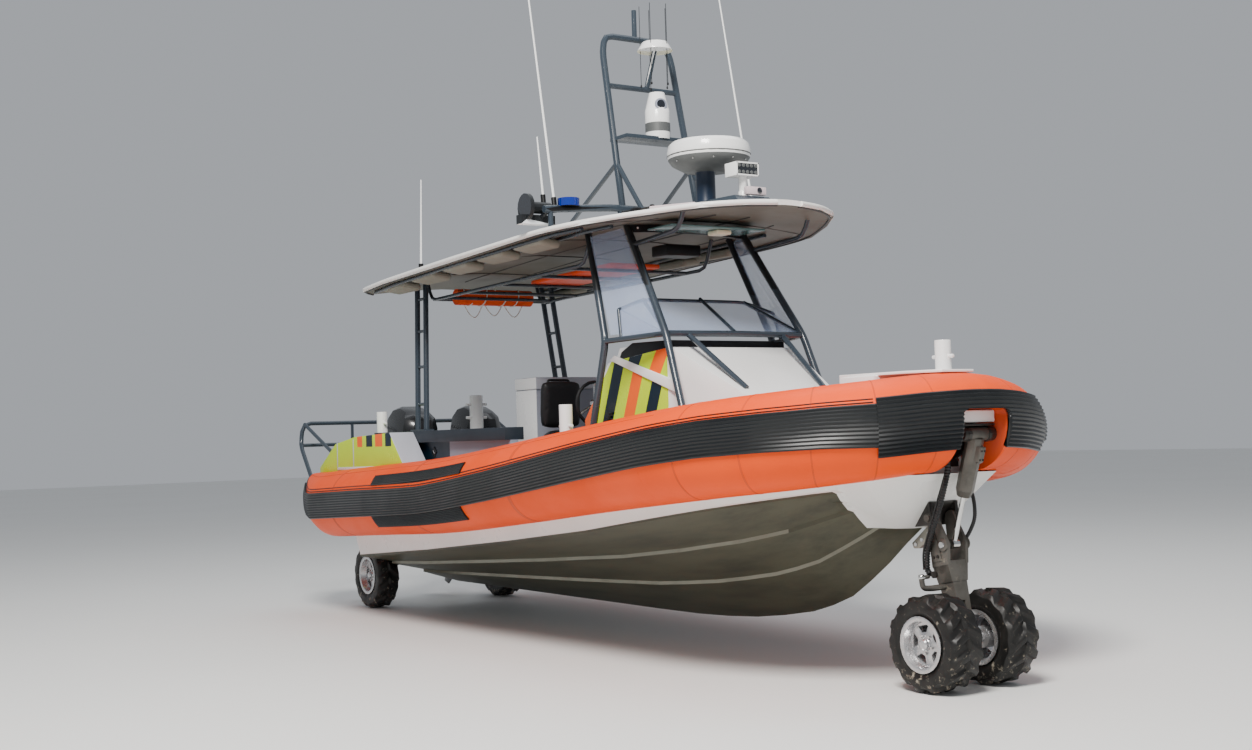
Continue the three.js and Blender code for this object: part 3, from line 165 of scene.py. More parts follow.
def add(tree, kind, settings=None, **values):
    """New node: its settings made, and its inputs set or linked by name, with _ for a space"""
    node = tree.nodes.new(kind)
    for key, value in (settings or {}).items():
        setattr(node, key, value)
    return wire(tree, node, **values)


def wire(tree, node, **values):
    for label, value in values.items():
        socket = node.inputs[label.replace("_", " ")]
        if isinstance(value, bpy.types.NodeSocket):
            tree.links.new(value, socket)
        elif isinstance(value, tuple) and len(value) < len(socket.default_value):
            socket.default_value = (*value, 1)
        else:
            socket.default_value = value
    return node


def noise(tree, vector, scale, detail=3.0, rough=0.55):
    node = add(tree, "ShaderNodeTexNoise", Detail=detail, Roughness=rough, Scale=scale, Vector=vector)
    return node.outputs["Fac"]


def calc(tree, operation, a, b=None, c=None, clamp=False):
    node = tree.nodes.new("ShaderNodeMath")
    node.operation = operation
    node.use_clamp = clamp
    for socket, value in zip(node.inputs, (a, b, c)):
        if value is None:
            continue
        if isinstance(value, (int, float)):
            socket.default_value = value
        else:
            tree.links.new(value, socket)
    return node.outputs[0]


def ramp(tree, value, low, high):
    """0 below low, 1 above high"""
    node = add(tree, "ShaderNodeMapRange", {"interpolation_type": "SMOOTHSTEP"}, From_Min=low, From_Max=high,
               Value=value)
    return node.outputs["Result"]


def mix(tree, amount, a, b):
    node = tree.nodes.new("ShaderNodeMix")
    node.data_type = "RGBA"
    for index, value in ((0, amount), (6, a), (7, b)):
        socket = node.inputs[index]
        if isinstance(value, (int, float)):
            socket.default_value = value
        elif isinstance(value, tuple):
            socket.default_value = (*value, 1) if len(value) == 3 else value
        else:
            tree.links.new(value, socket)
    return node.outputs[2]


# Slow colour drift, fine speckle and a rubbed roughness, for paint, moulding, rubber and metal
def make_weather():
    tree, source, sink = new_group(
        "weathering",
        [("Vector", "NodeSocketVector", (0, 0, 0)), ("Color", "NodeSocketColor", (1, 1, 1, 1)),
         ("Shade", "NodeSocketColor", (0, 0, 0, 1)), ("Scale", "NodeSocketFloat", 2.0),
         ("Amount", "NodeSocketFloat", 0.3), ("Roughness", "NodeSocketFloat", 0.4),
         ("Rubbing", "NodeSocketFloat", 0.1), ("Grain", "NodeSocketFloat", 120.0)],
        [("Color", "NodeSocketColor"), ("Roughness", "NodeSocketFloat"), ("Height", "NodeSocketFloat")],
    )
    drift = ramp(tree, noise(tree, source.outputs["Vector"], source.outputs["Scale"], 5, 0.6), 0.35, 0.75)
    speck = noise(tree, source.outputs["Vector"], source.outputs["Grain"], 2, 0.5)
    shade = calc(tree, "MULTIPLY", drift, source.outputs["Amount"])
    shade = calc(tree, "ADD", shade, calc(tree, "MULTIPLY", calc(tree, "SUBTRACT", speck, 0.5), 0.12),
                 clamp=True)
    tree.links.new(mix(tree, shade, source.outputs["Color"], source.outputs["Shade"]), sink.inputs["Color"])
    rub = calc(tree, "MULTIPLY", calc(tree, "SUBTRACT", drift, 0.5), source.outputs["Rubbing"])
    tree.links.new(calc(tree, "ADD", source.outputs["Roughness"], rub), sink.inputs["Roughness"])
    tree.links.new(speck, sink.inputs["Height"])
    return tree


# Fine crossed threads under a coating, as on the air tubes and the seat covers
def make_weave():
    group, source, sink = new_group(
        "coated_cloth",
        [("Vector", "NodeSocketVector", (0, 0, 0)), ("Threads", "NodeSocketFloat", 300.0)],
        [("Height", "NodeSocketFloat")],
    )
    heights = []
    for direction in ("X", "Z"):
        wave = add(group, "ShaderNodeTexWave", {"bands_direction": direction},
                   Vector=source.outputs["Vector"], Scale=source.outputs["Threads"])
        heights.append(wave.outputs["Fac"])
    group.links.new(calc(group, "MULTIPLY", heights[0], heights[1]), sink.inputs["Height"])
    return group


# Splashes of dried sand and mud that thin out with height
def make_mud():
    group, source, sink = new_group(
        "dried_mud",
        [("Vector", "NodeSocketVector", (0, 0, 0)), ("Low", "NodeSocketFloat", 0.0),
         ("High", "NodeSocketFloat", 1.0), ("Scale", "NodeSocketFloat", 9.0),
         ("Amount", "NodeSocketFloat", 0.6)],
        [("Mask", "NodeSocketFloat")],
    )
    split = add(group, "ShaderNodeSeparateXYZ", Vector=source.outputs["Vector"])
    span = calc(group, "SUBTRACT", source.outputs["High"], source.outputs["Low"])
    rise = calc(group, "DIVIDE", calc(group, "SUBTRACT", split.outputs["Z"], source.outputs["Low"]), span,
                clamp=True)
    cover = calc(group, "MULTIPLY", calc(group, "SUBTRACT", 1.0, rise), source.outputs["Amount"])
    spots = noise(group, source.outputs["Vector"], source.outputs["Scale"], 6, 0.7)
    level = calc(group, "SUBTRACT", calc(group, "ADD", spots, cover), 0.72)
    group.links.new(calc(group, "MULTIPLY", level, 6.0, clamp=True), sink.inputs["Mask"])
    return group


GROUPS = {"weather": make_weather(), "weave": make_weave(), "mud": make_mud()}


def place_group(tree, key, **values):
    return add(tree, "ShaderNodeGroup", {"node_tree": GROUPS[key]}, **values)


def new_material(name):
    material = bpy.data.materials.new(name)
    material.use_nodes = True
    tree = material.node_tree
    where = tree.nodes.new("ShaderNodeTexCoord").outputs["Object"]
    return material, tree, tree.nodes["Principled BSDF"], where


DRY_MUD = (0.42, 0.37, 0.29)


def finish(name, color, shade, rough=0.4, metal=0.0, amount=0.35, scale=1.6, grain=90.0, rubbing=0.15,
           bump=0.08, depth=0.0004, coat=0.0, specular=0.5, weave=0.0, mud=None, mask=None):
    material, tree, shader, where = new_material(name)
    weather = place_group(tree, "weather", Vector=where, Color=color, Shade=shade, Scale=scale, Amount=amount,
                          Roughness=rough, Rubbing=rubbing, Grain=grain)
    paint, gloss, height = (weather.outputs[key] for key in ("Color", "Roughness", "Height"))
    if mask:
        paint, gloss, metal = mask(tree, where, paint, gloss)
    if mud:
        cover = place_group(tree, "mud", Vector=where, **mud).outputs["Mask"]
        paint = mix(tree, cover, paint, DRY_MUD)
        gloss = calc(tree, "ADD", gloss, calc(tree, "MULTIPLY", cover, 0.35), clamp=True)
    if weave:
        height = place_group(tree, "weave", Vector=where, Threads=weave).outputs["Height"]
    surface = add(tree, "ShaderNodeBump", Strength=bump, Distance=depth, Height=height)
    wire(tree, shader, Base_Color=paint, Roughness=gloss, Metallic=metal, Coat_Weight=coat,
         Specular_IOR_Level=specular, Normal=surface.outputs["Normal"])
    return material


GLASS = {"rough": 0.03, "alpha": 0.30, "specular": 0.8, "film": (0.9, 0.92, 0.95)}


def glass(name, tint):
    material, tree, shader, where = new_material(name)
    film = ramp(tree, noise(tree, where, 3.0, 4, 0.6), 0.4, 0.8)
    paint = mix(tree, calc(tree, "MULTIPLY", film, 0.25), tint, GLASS["film"])
    gloss = calc(tree, "ADD", GLASS["rough"], calc(tree, "MULTIPLY", film, 0.05))
    wire(tree, shader, Base_Color=paint, Roughness=gloss, Alpha=GLASS["alpha"],
         Specular_IOR_Level=GLASS["specular"])
    return material


def lamp_glass(name, color, glow):
    material = finish(name, color, tuple(c * 0.6 for c in color), rough=0.12, coat=0.8)
    tree = material.node_tree
    wire(tree, tree.nodes["Principled BSDF"], Emission_Color=color, Emission_Strength=glow)
    return material


# Bottom plating stays bare below the chine, which rises towards the bow, and the topside is white
CHINE = [(0.0, 0.530), (1.4, 0.640), (2.8, 0.770), (3.9, 0.885), (4.6, 0.980), (5.2, 1.060), (5.6, 1.110),
         (5.95, 1.155), (6.25, 1.190), (6.5, 1.225)]
# The white plinth ahead of the bare plates: after end, level foot, half breadth at the foot, and flare
PLINTH = {"aft": 5.957, "foot": 0.9335, "half": 0.226, "flare": 1.29}
BARE = {"color": (0.078, 0.078, 0.050), "stain": (0.040, 0.042, 0.028), "metal": 0.25, "rough": 0.42}
PAINT_LINE = {"above_chine": 0.004, "soft": 0.001}


def bare_bottom(tree, where, paint, gloss):
    split = add(tree, "ShaderNodeSeparateXYZ", Vector=where)
    rise = None
    for (x0, z0), (x1, z1) in zip(CHINE, CHINE[1:]):
        part = add(tree, "ShaderNodeMapRange", Value=split.outputs["X"], From_Min=x0 - ORIGIN_X,
                   From_Max=x1 - ORIGIN_X, To_Min=0, To_Max=z1 - z0)
        rise = part.outputs["Result"] if rise is None else calc(tree, "ADD", rise, part.outputs["Result"])
    above = calc(tree, "SUBTRACT", split.outputs["Z"],
                 calc(tree, "ADD", rise, CHINE[0][1] + PAINT_LINE["above_chine"]))
    # The plinth is white too, from its foot up
    half = calc(tree, "ABSOLUTE", split.outputs["Y"])
    reach = calc(tree, "MULTIPLY_ADD", split.outputs["Z"], PLINTH["flare"],
                 PLINTH["half"] - PLINTH["flare"] * PLINTH["foot"])
    plinth = calc(tree, "MULTIPLY", calc(tree, "GREATER_THAN", split.outputs["X"], PLINTH["aft"] - ORIGIN_X),
                  calc(tree, "GREATER_THAN", split.outputs["Z"], PLINTH["foot"]))
    plinth = calc(tree, "MULTIPLY", plinth, calc(tree, "LESS_THAN", half, reach))
    white = calc(tree, "MAXIMUM", ramp(tree, above, -PAINT_LINE["soft"], PAINT_LINE["soft"]), plinth)
    stretched = add(tree, "ShaderNodeMapping", Scale=(0.5, 3.0, 3.0), Vector=where)
    stain = ramp(tree, noise(tree, stretched.outputs["Vector"], 2.2, 6, 0.65), 0.35, 0.75)
    metal = mix(tree, stain, BARE["color"], BARE["stain"])
    bare = calc(tree, "SUBTRACT", 1.0, white)
    metallic = calc(tree, "MULTIPLY", bare, BARE["metal"])
    rough = calc(tree, "ADD", calc(tree, "MULTIPLY", white, gloss),
                 calc(tree, "MULTIPLY", bare, BARE["rough"]))
    return mix(tree, white, metal, paint), rough, metallic


FINISH = {
    "floor": finish("studio_floor", (0.80, 0.80, 0.78), (0.74, 0.74, 0.72), rough=0.7, amount=0.15,
                    scale=0.3),
    "hull": finish("hull_plating", (0.86, 0.86, 0.84), (0.66, 0.66, 0.62), rough=0.32, amount=0.4, scale=0.9,
                   mask=bare_bottom),
    "orange": finish("coated_orange_cloth", (0.92, 0.080, 0.0), (0.74, 0.055, 0.0), rough=0.50, amount=0.5,
                     scale=1.1, weave=420.0, bump=0.05, depth=0.0003, rubbing=0.2, specular=0.18),
    # Darker copy of the orange cloth for the slot's inner walls: painted shade in the recess
    "orange_slot_shade": finish("slot_cloth_painted_shade", (0.55, 0.045, 0.0), (0.42, 0.030, 0.0), rough=0.55, scale=2,
                          specular=0.3),
    "seam": finish("seam_tape", (0.68, 0.060, 0.0), (0.56, 0.044, 0.0), rough=0.5, amount=0.5, scale=3,
                   specular=0.3),
    "strake": finish("strake_rubber", (0.006, 0.0075, 0.009), (0.015, 0.017, 0.017), rough=0.40, amount=0.55,
                     scale=2.4, bump=0.15, depth=0.0008, specular=0.35),
    "black": finish("black_moulding", (0.005, 0.005, 0.006), (0.012, 0.012, 0.013), rough=0.42, scale=5,
                    specular=0.3),
    "white": finish("white_paint", (0.87, 0.87, 0.86), (0.72, 0.72, 0.70), rough=0.26, coat=0.3, amount=0.25),
    "slate": finish("slate_coating", (0.033, 0.046, 0.061), (0.021, 0.030, 0.042), rough=0.30, coat=0.3,
                    scale=3, specular=0.35),
    "slate_light": finish("grey_coating", (0.255, 0.275, 0.335), (0.20, 0.215, 0.26), rough=0.38, coat=0.15,
                          scale=2),
    "pale_grey": finish("pale_coating", (0.46, 0.48, 0.54), (0.36, 0.38, 0.43), rough=0.36, coat=0.15,
                        scale=2),
    "slate_dark": finish("dark_coating", (0.014, 0.016, 0.018), (0.008, 0.010, 0.012), rough=0.42, scale=3,
                         specular=0.3),
    "cap_grey": finish("cap_coating", (0.020, 0.028, 0.038), (0.012, 0.018, 0.026), rough=0.45, scale=3,
                       specular=0.35),
    "navy": finish("navy_sheet", (0.002, 0.012, 0.026), (0.004, 0.014, 0.026), rough=0.36, coat=0.1, scale=3,
                   specular=0.3),
    "yellow": finish("yellow_sheet", (0.56, 0.80, 0.0), (0.44, 0.64, 0.0), rough=0.34, coat=0.15, amount=0.3,
                     specular=0.3),
    "orange_sheet": finish("orange_sheet", (0.92, 0.120, 0.0), (0.76, 0.085, 0.0), rough=0.36, coat=0.1,
                           specular=0.3),
    # Lining under the hardtop: a pale beige lining, darkened well below its own tone as painted shade under
    # the roof
    "beige": finish("roof_lining_and_painted_shade", (0.128, 0.120, 0.092), (0.085, 0.080, 0.060), rough=0.5, amount=0.4,
                    scale=1.2),
    "pouch": finish("pouch_cloth", (0.26, 0.265, 0.22), (0.19, 0.195, 0.16), rough=0.7, weave=300.0, bump=0.2,
                    scale=6),
    "panel_line": finish("panel_line", (0.05, 0.05, 0.048), (0.03, 0.03, 0.03), rough=0.5, scale=5),
    "glow_panel": finish("tinted_header", (0.10, 0.20, 0.20), (0.07, 0.15, 0.15), rough=0.2, scale=3),
    "pinkish": finish("lamp_box_paint", (0.62, 0.52, 0.54), (0.50, 0.42, 0.44), rough=0.35, scale=4),
    "green_band": finish("hose_band", (0.02, 0.30, 0.10), (0.01, 0.20, 0.07), rough=0.4, scale=4),
    "rail_metal": finish("bare_rail", (0.23, 0.225, 0.175), (0.14, 0.14, 0.105), rough=0.36, metal=0.45,
                         scale=5),
    "roof_white": finish("roof_skin", (0.84, 0.83, 0.80), (0.70, 0.69, 0.65), rough=0.4, coat=0.15),
    "cream": finish("cream_moulding", (0.82, 0.77, 0.56), (0.70, 0.65, 0.46), rough=0.4, coat=0.2, scale=4),
    # Dark grey for the camera's band and the searchlight's lamps, and also painted shade on the radome's
    # underside
    "dome_grey": finish("dome_shade_and_dark_grey", (0.10, 0.105, 0.105), (0.07, 0.075, 0.075), rough=0.45, scale=6),
    "pedestal": finish("pedestal_coating", (0.010, 0.022, 0.048), (0.007, 0.014, 0.030), rough=0.36, coat=0.2,
                       specular=0.35),
    "motor": finish("cowl_paint", (0.016, 0.017, 0.019), (0.010, 0.011, 0.012), rough=0.30, coat=0.35,
                    scale=3, specular=0.35),
    "vinyl": finish("seat_cover", (0.006, 0.006, 0.007), (0.014, 0.014, 0.015), rough=0.5, weave=500.0,
                    bump=0.15, specular=0.3),
    "leg": finish("cast_leg", (0.120, 0.112, 0.098), (0.050, 0.046, 0.040), rough=0.46, metal=0.5, amount=0.7,
                  scale=7, bump=0.35, depth=0.0012,
                  mud={"Low": 0.0, "High": 1.5, "Scale": 10.0, "Amount": 0.24}),
    "leg_dark": finish("oiled_casting", (0.030, 0.027, 0.024), (0.014, 0.013, 0.012), rough=0.38, metal=0.4,
                       scale=9),
    "steel": finish("polished_steel", (0.62, 0.62, 0.61), (0.42, 0.42, 0.41), rough=0.16, metal=1.0, scale=9),
    "alloy": finish("wheel_alloy", (0.56, 0.56, 0.57), (0.36, 0.36, 0.37), rough=0.3, metal=0.85, scale=9,
                    mud={"Low": 0.05, "High": 0.8, "Scale": 22.0, "Amount": 0.14}),
    "plate": finish("bare_plate", (0.30, 0.29, 0.25), (0.19, 0.185, 0.155), rough=0.36, metal=0.6, scale=7),
    "tyre": finish("tyre_rubber", (0.006, 0.0058, 0.0055), (0.018, 0.017, 0.015), rough=0.5, amount=0.7,
                   scale=9, grain=60, bump=0.4, depth=0.002, specular=0.35,
                   mud={"Low": -0.1, "High": 0.9, "Scale": 24.0, "Amount": 0.20}),
    "hose": finish("hose_rubber", (0.007, 0.007, 0.008), (0.02, 0.02, 0.02), rough=0.5, scale=9),
    "clear": glass("screen_glass", (0.40, 0.50, 0.72)),
    "blue_lens": lamp_glass("blue_lens", (0.002, 0.018, 0.22), 0.10),
    "lens": lamp_glass("lamp_lens", (0.75, 0.78, 0.80), 0.15),
    "dark_lens": finish("dark_lens", (0.004, 0.006, 0.010), (0.008, 0.010, 0.016), rough=0.06, coat=1.0,
                        scale=4),
    "board": finish("board_orange", (0.86, 0.070, 0.002), (0.70, 0.045, 0.002), rough=0.42, amount=0.4,
                    scale=2),
    "roll_cloth": finish("roll_cloth", (0.78, 0.075, 0.004), (0.50, 0.040, 0.004), rough=0.7, weave=260.0,
                         bump=0.25, amount=0.5, scale=5, specular=0.3),
    "rope": finish("rope_fibre", (0.72, 0.70, 0.64), (0.48, 0.46, 0.42), rough=0.8, grain=500, bump=0.4,
                   scale=20),
}


# ---------------------------------------------------------------- shapes
def smooth_by_angle(work, degrees):
    limit = math.radians(degrees)
    for face in work.faces:
        face.smooth = True
    for edge in work.edges:
        edge.smooth = len(edge.link_faces) == 2 and edge.calc_face_angle(0) < limit


MERGE = 1e-5
CAD_MERGE = 2e-5
FLAT_DEGREES = 1.2
CURVE_DEGREES = 46


class Work:
    """Collects the parts of one piece, each with its own finish, in boat metres."""

    def __init__(self):
        self.bm = bmesh.new()
        self.finishes = []

    def _paint(self, faces, key):
        if key not in self.finishes:
            self.finishes.append(key)
        for face in faces:
            face.material_index = self.finishes.index(key)

    def faces(self, corners, polygons, key):
        verts = [self.bm.verts.new(c) for c in corners]
        made = []
        for polygon in polygons:
            if len(set(polygon)) > 2:
                made.append(self.bm.faces.new([verts[i] for i in polygon]))
        bmesh.ops.recalc_face_normals(self.bm, faces=made)
        self._paint(made, key)
        return made

    def box(self, low, high, key, bevel=0.0, segments=2, move=None):
        corners = [(x, y, z) for z in (low[2], high[2]) for y in (low[1], high[1]) for x in (low[0], high[0])]
        polygons = [(0, 2, 3, 1), (4, 5, 7, 6), (0, 1, 5, 4), (2, 6, 7, 3), (0, 4, 6, 2), (1, 3, 7, 5)]
        made = self.faces(corners, polygons, key)
        return self._round(made, bevel, segments, key, move)

    def _round(self, made, bevel, segments, key, move=None):
        verts = {v for face in made for v in face.verts}
        if move:
            bmesh.ops.transform(self.bm, matrix=move, verts=list(verts))
        if bevel:
            edges = {e for face in made for e in face.edges}
            sharp = [e for e in edges if len(e.link_faces) == 2 and e.calc_face_angle(0) > 0.5]
            result = bmesh.ops.bevel(self.bm, geom=sharp, offset=bevel, segments=segments, profile=0.5,
                                     affect="EDGES", clamp_overlap=True)
            self._paint(result["faces"], key)
            made = [f for f in made if f.is_valid] + list(result["faces"])
        return made

    def prism(self, outline, lift, key, bevel=0.0, segments=2):
        """Flat outline of 3-D corners, thickened by the vector lift"""
        count = len(outline)
        lift = Vector(lift)
        corners = [Vector(c) for c in outline] + [Vector(c) + lift for c in outline]
        polygons = [tuple(range(count))[::-1], tuple(range(count, 2 * count))]
        polygons += [(i, (i + 1) % count, (i + 1) % count + count, i + count) for i in range(count)]
        return self._round(self.faces(corners, polygons, key), bevel, segments, key)

    def rings(self, rings, key, closed=True, capped=True):
        """Skin over rings of equal count"""
        count = len(rings[0])
        corners = [p for ring in rings for p in ring]
        polygons = []
        reach = count if closed else count - 1
        for r in range(len(rings) - 1):
            for i in range(reach):
                j = (i + 1) % count
                polygons.append((r * count + i, r * count + j, (r + 1) * count + j, (r + 1) * count + i))
        if capped:
            polygons.append(tuple(range(count))[::-1])
            polygons.append(tuple(range((len(rings) - 1) * count, len(rings) * count)))
        return self.faces(corners, polygons, key)

    def tube(self, path, radius, key, sides=12, end_radius=None):
        """Round bar along a path of points"""
        points = [Vector(p) for p in path]
        end_radius = radius if end_radius is None else end_radius
        axis = None
        rings = []
        for i, point in enumerate(points):
            along = (points[min(i + 1, len(points) - 1)] - points[max(i - 1, 0)]).normalized()
            if axis is None:
                axis = along.orthogonal().normalized()
            axis = (axis - along * axis.dot(along)).normalized()
            other = along.cross(axis)
            r = radius + (end_radius - radius) * i / max(len(points) - 1, 1)
            rings.append([point + axis * r * math.cos(a) + other * r * math.sin(a) for a in turns(sides)])
        return self.rings(rings, key)

    def lathe(self, profile, centre, axis, key, steps=32):
        """Profile of radius and distance, turned about an axis through centre"""
        axis = Vector(axis).normalized()
        side = axis.orthogonal().normalized()
        other = axis.cross(side)
        centre = Vector(centre)
        rings = []
        for radius, along in profile:
            rings.append([centre + axis * along + (side * math.cos(a) + other * math.sin(a)) * max(radius,
                                                                                                   1e-5)
                          for a in turns(steps)])
        return self.rings(rings, key)

    def done(self, name, body, replaces=(), angle=35):
        bmesh.ops.remove_doubles(self.bm, verts=self.bm.verts, dist=MERGE)
        bmesh.ops.dissolve_degenerate(self.bm, edges=self.bm.edges, dist=1e-6)
        bmesh.ops.transform(self.bm, matrix=Matrix.Translation((-ORIGIN_X, 0, 0)), verts=self.bm.verts)
        smooth_by_angle(self.bm, angle)
        mesh = bpy.data.meshes.new(name)
        self.bm.to_mesh(mesh)
        self.bm.free()
        for key in self.finishes:
            mesh.materials.append(FINISH[key])
        piece = new_object(name, mesh)
        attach(piece, body)
        if replaces:
            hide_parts(*replaces)
        return piece


def bent(corners, radius, steps=5):
    """Path through corner points with each corner rounded"""
    points = [Vector(c) for c in corners]
    path = [points[0]]
    for before, corner, after in zip(points, points[1:], points[2:]):
        reach = min(radius, (before - corner).length * 0.45, (after - corner).length * 0.45)
        enter = corner + (before - corner).normalized() * reach
        leave = corner + (after - corner).normalized() * reach
        for k in range(steps + 1):
            t = k / steps
            path.append(enter * (1 - t) ** 2 + corner * 2 * t * (1 - t) + leave * t * t)
    path.append(points[-1])
    return path


BODY_OF = {n: o["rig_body"] for n, o in NODES.items()}


def softened(node, key, bevel=0.0, segments=2, angle=32):
    """Stands for a CAD node with its edges eased and its curves shaded smooth"""
    mesh = NODES[node].data.copy()
    mesh.materials.clear()
    mesh.materials.append(FINISH[key])
    work = bmesh.new()
    work.from_mesh(mesh)
    bmesh.ops.remove_doubles(work, verts=work.verts, dist=CAD_MERGE)
    bmesh.ops.dissolve_limit(work, angle_limit=math.radians(FLAT_DEGREES), verts=work.verts, edges=work.edges)
    for face in work.faces:
        face.material_index = 0
    bmesh.ops.recalc_face_normals(work, faces=work.faces)
    if bevel:
        sharp = [e for e in work.edges if len(e.link_faces) == 2
                 and e.calc_face_angle(0) > math.radians(angle)]
        bmesh.ops.bevel(work, geom=sharp, offset=bevel, segments=segments, profile=0.5, affect="EDGES",
                        clamp_overlap=True)
    smooth_by_angle(work, angle if bevel else max(angle, CURVE_DEGREES))
    bmesh.ops.triangulate(work, faces=[f for f in work.faces if len(f.verts) > 4])
    work.to_mesh(mesh)
    work.free()
    piece = new_object("dressed_" + node, mesh)
    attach(piece, BODY_OF[node])
    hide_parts(node)
    return piece


# ---------------------------------------------------------------- air collar
COLLAR = [
    (-0.782, 1.100, 1.215, 0.040), (-0.750, 1.100, 1.205, 0.072), (-0.640, 1.100, 1.146, 0.138),
    (-0.480, 1.100, 1.072, 0.216), (-0.320, 1.100, 1.016, 0.276), (-0.180, 1.100, 1.000, 0.301),
    (0.800, 1.100, 1.050, 0.302), (2.080, 1.100, 1.115, 0.302), (3.200, 1.100, 1.215, 0.302),
    (4.340, 1.100, 1.330, 0.302), (5.200, 1.095, 1.410, 0.302), (5.640, 1.030, 1.450, 0.300),
    (5.970, 0.895, 1.480, 0.298), (6.215, 0.705, 1.508, 0.296), (6.380, 0.510, 1.532, 0.294),
    (6.490, 0.300, 1.555, 0.292), (6.545, 0.110, 1.568, 0.290), (6.550, 0.0, 1.570, 0.290),
]
COLLAR_RUN = COLLAR + [(x, -y, z, r) for x, y, z, r in reversed(COLLAR[:-1])]
SEAM = 10
BOW_END = len(COLLAR_RUN) - 1 - SEAM
JOINT = 0.0005
TAPE = {"proud": 0.0012, "sides": 64}
BEAD = {"step": 4.5, "radius": 0.0042, "proud": 0.001}


def collar_at(t):
    """Centre line and radius at a place t counted in rows of the table"""
    i = max(0, min(int(t), len(COLLAR_RUN) - 2))
    f = t - i
    rows = [COLLAR_RUN[max(0, min(i + k, len(COLLAR_RUN) - 1))] for k in (-1, 0, 1, 2)]
    out = []
    for a, b, c, d in zip(*rows):
        curved = 0.5 * (2 * b + (c - a) * f + (2 * a - 5 * b + 4 * c - d) * f * f
                        + (3 * b - a - 3 * c + d) * f ** 3)
        straight = b + (c - b) * f
        out.append(straight if i < 6 or i > len(COLLAR_RUN) - 8 else curved)
    return out


def collar_frame(t):
    x, y, z, r = collar_at(t)
    e = 0.02
    a, b = collar_at(max(t - e, 0)), collar_at(min(t + e, len(COLLAR_RUN) - 1.001))
    along = Vector((b[0] - a[0], b[1] - a[1], 0)).normalized()
    return Vector((x, y, z)), Vector((-along.y, along.x, 0)), r


def on_collar(t, degrees, proud=0.0):
    centre, out, r = collar_frame(t)
    a = math.radians(degrees)
    return centre + out * (r + proud) * math.cos(a) + Vector((0, 0, (r + proud) * math.sin(a)))


def spread(start, end, count):
    return [start + (end - start) * k / (count - 1) for k in range(count)]


def t_of_x(x):
    """Place in the table, on the port side, of a distance forward"""
    for i in range(len(COLLAR) - 1):
        if COLLAR[i][0] <= x <= COLLAR[i + 1][0]:
            return i + (x - COLLAR[i][0]) / (COLLAR[i + 1][0] - COLLAR[i][0])
    return 0.0


def mirror_t(t):
    return len(COLLAR_RUN) - 1 - t


def collar_skin(work, start, end, count, key, proud=0.0, sides=72):
    work.rings([[on_collar(t, 360 * k / sides, proud) for k in range(sides)]
                for t in spread(start, end, count)], key)


def ribbed_band(work, places, ribs, proud, hollow, key, per_rib=4):
    """Band between two angles at each place (t, low, high), with lengthwise ribs"""
    rings = []
    for t, low, high in places:
        steps = ribs * per_rib
        outer = []
        for k in range(steps + 1):
            wave = 0.5 - 0.5 * math.cos(FULL_TURN * k / per_rib)
            outer.append(on_collar(t, low + (high - low) * k / steps, hollow + (proud - hollow) * wave))
        inner = [on_collar(t, low + (high - low) * k / 6, -0.008) for k in range(6, -1, -1)]
        rings.append(outer + inner)
    work.rings(rings, key)


def tape(work, t, half):
    collar_skin(work, t - half, t + half, 3, "seam", TAPE["proud"], TAPE["sides"])


def beads(work, start, end, count):
    """Two thin lines side by side above the strake"""
    for lift in (0, BEAD["step"]):
        path = [on_collar(t, bead_angle(t) + lift, BEAD["proud"]) for t in spread(start, end, count)]
        work.tube(path, BEAD["radius"], "strake", sides=6)


def make_collar():
    for side, sign in SIDES.items():
        span = (0.0, SEAM - JOINT) if sign > 0 else (mirror_t(0.0) - 0.001, mirror_t(SEAM - JOINT))
        work = Work()
        collar_skin(work, span[0], span[1], 90, "orange")
        for x in (0.33, 1.9, 3.55):
            tape(work, t_of_x(x) if sign > 0 else mirror_t(t_of_x(x)), 0.018)
        beads(work, span[0] + (2.2 if sign > 0 else 0), span[1] - (0 if sign > 0 else 2.2), 90)
        line = [on_collar(t, 58) for t in spread(span[0] + 0.02, span[1] - 0.02, 70)]
        work.tube(line, 0.0025, "seam", sides=6)
        work.done("tube_skin_" + side, "boat", ["tube_" + side])
    work = Work()
    collar_skin(work, SEAM + JOINT, BOW_END - JOINT, 90, "orange")
    bow = work.done("tube_skin_bow", "boat", ["tube_bow"])
    # The slot's cut walls take the darker orange, painted shade inside the recess
    cut_slot(bow, "orange_slot_shade")
    work = Work()
    for row in (10.6, 11.7, 12.8, 14.0, 15.2):
        for t in (row, mirror_t(row)):
            tape(work, t, 0.016)
    for start, end in ((SEAM, FENDER["row"] - 0.05), (mirror_t(FENDER["row"] - 0.05), BOW_END)):
        beads(work, start, end, 40)
    work.done("bow_seams", "boat")


def cut_slot(piece, key):
    """Opens the slot that the bow leg and its ram hang in"""
    cutter = Work()
    cutter.box((6.10, -0.212, 0.9), (7.0, 0.160, 1.64), key, bevel=0.045, segments=4)
    tool = cutter.done("slot_cutter", "boat")
    cut = piece.modifiers.new("slot", "BOOLEAN")
    cut.operation = "DIFFERENCE"
    cut.solver = "EXACT"
    cut.material_mode = "TRANSFER"
    cut.object = tool
    applied(piece)
    bpy.data.objects.remove(tool)


# Degrees above the beam at rows of the collar's table: the strake's lower and upper edges
STRAKE_REACH = [
    (2, -22, 20), (3, -22, 20), (4, -23, 20), (5, -24, 20), (6, -25, 18), (7, -25, 15), (8, -22, 19),
    (9, -17, 26), (10, -12, 31), (11, -10, 33), (12, -11, 33), (13, -14, 32), (14, -19, 30), (15, -20, 30),
]
FENDER = {"low": -31, "high": 37, "row": 14.0}
STRAKE_START = 2.0
# A wider ribbed patch amidships: its ends, and the angles of the parts below and above the strake
PATCH = {"aft": 1.19, "fore": 2.80, "below": -47, "above": (24, 42)}


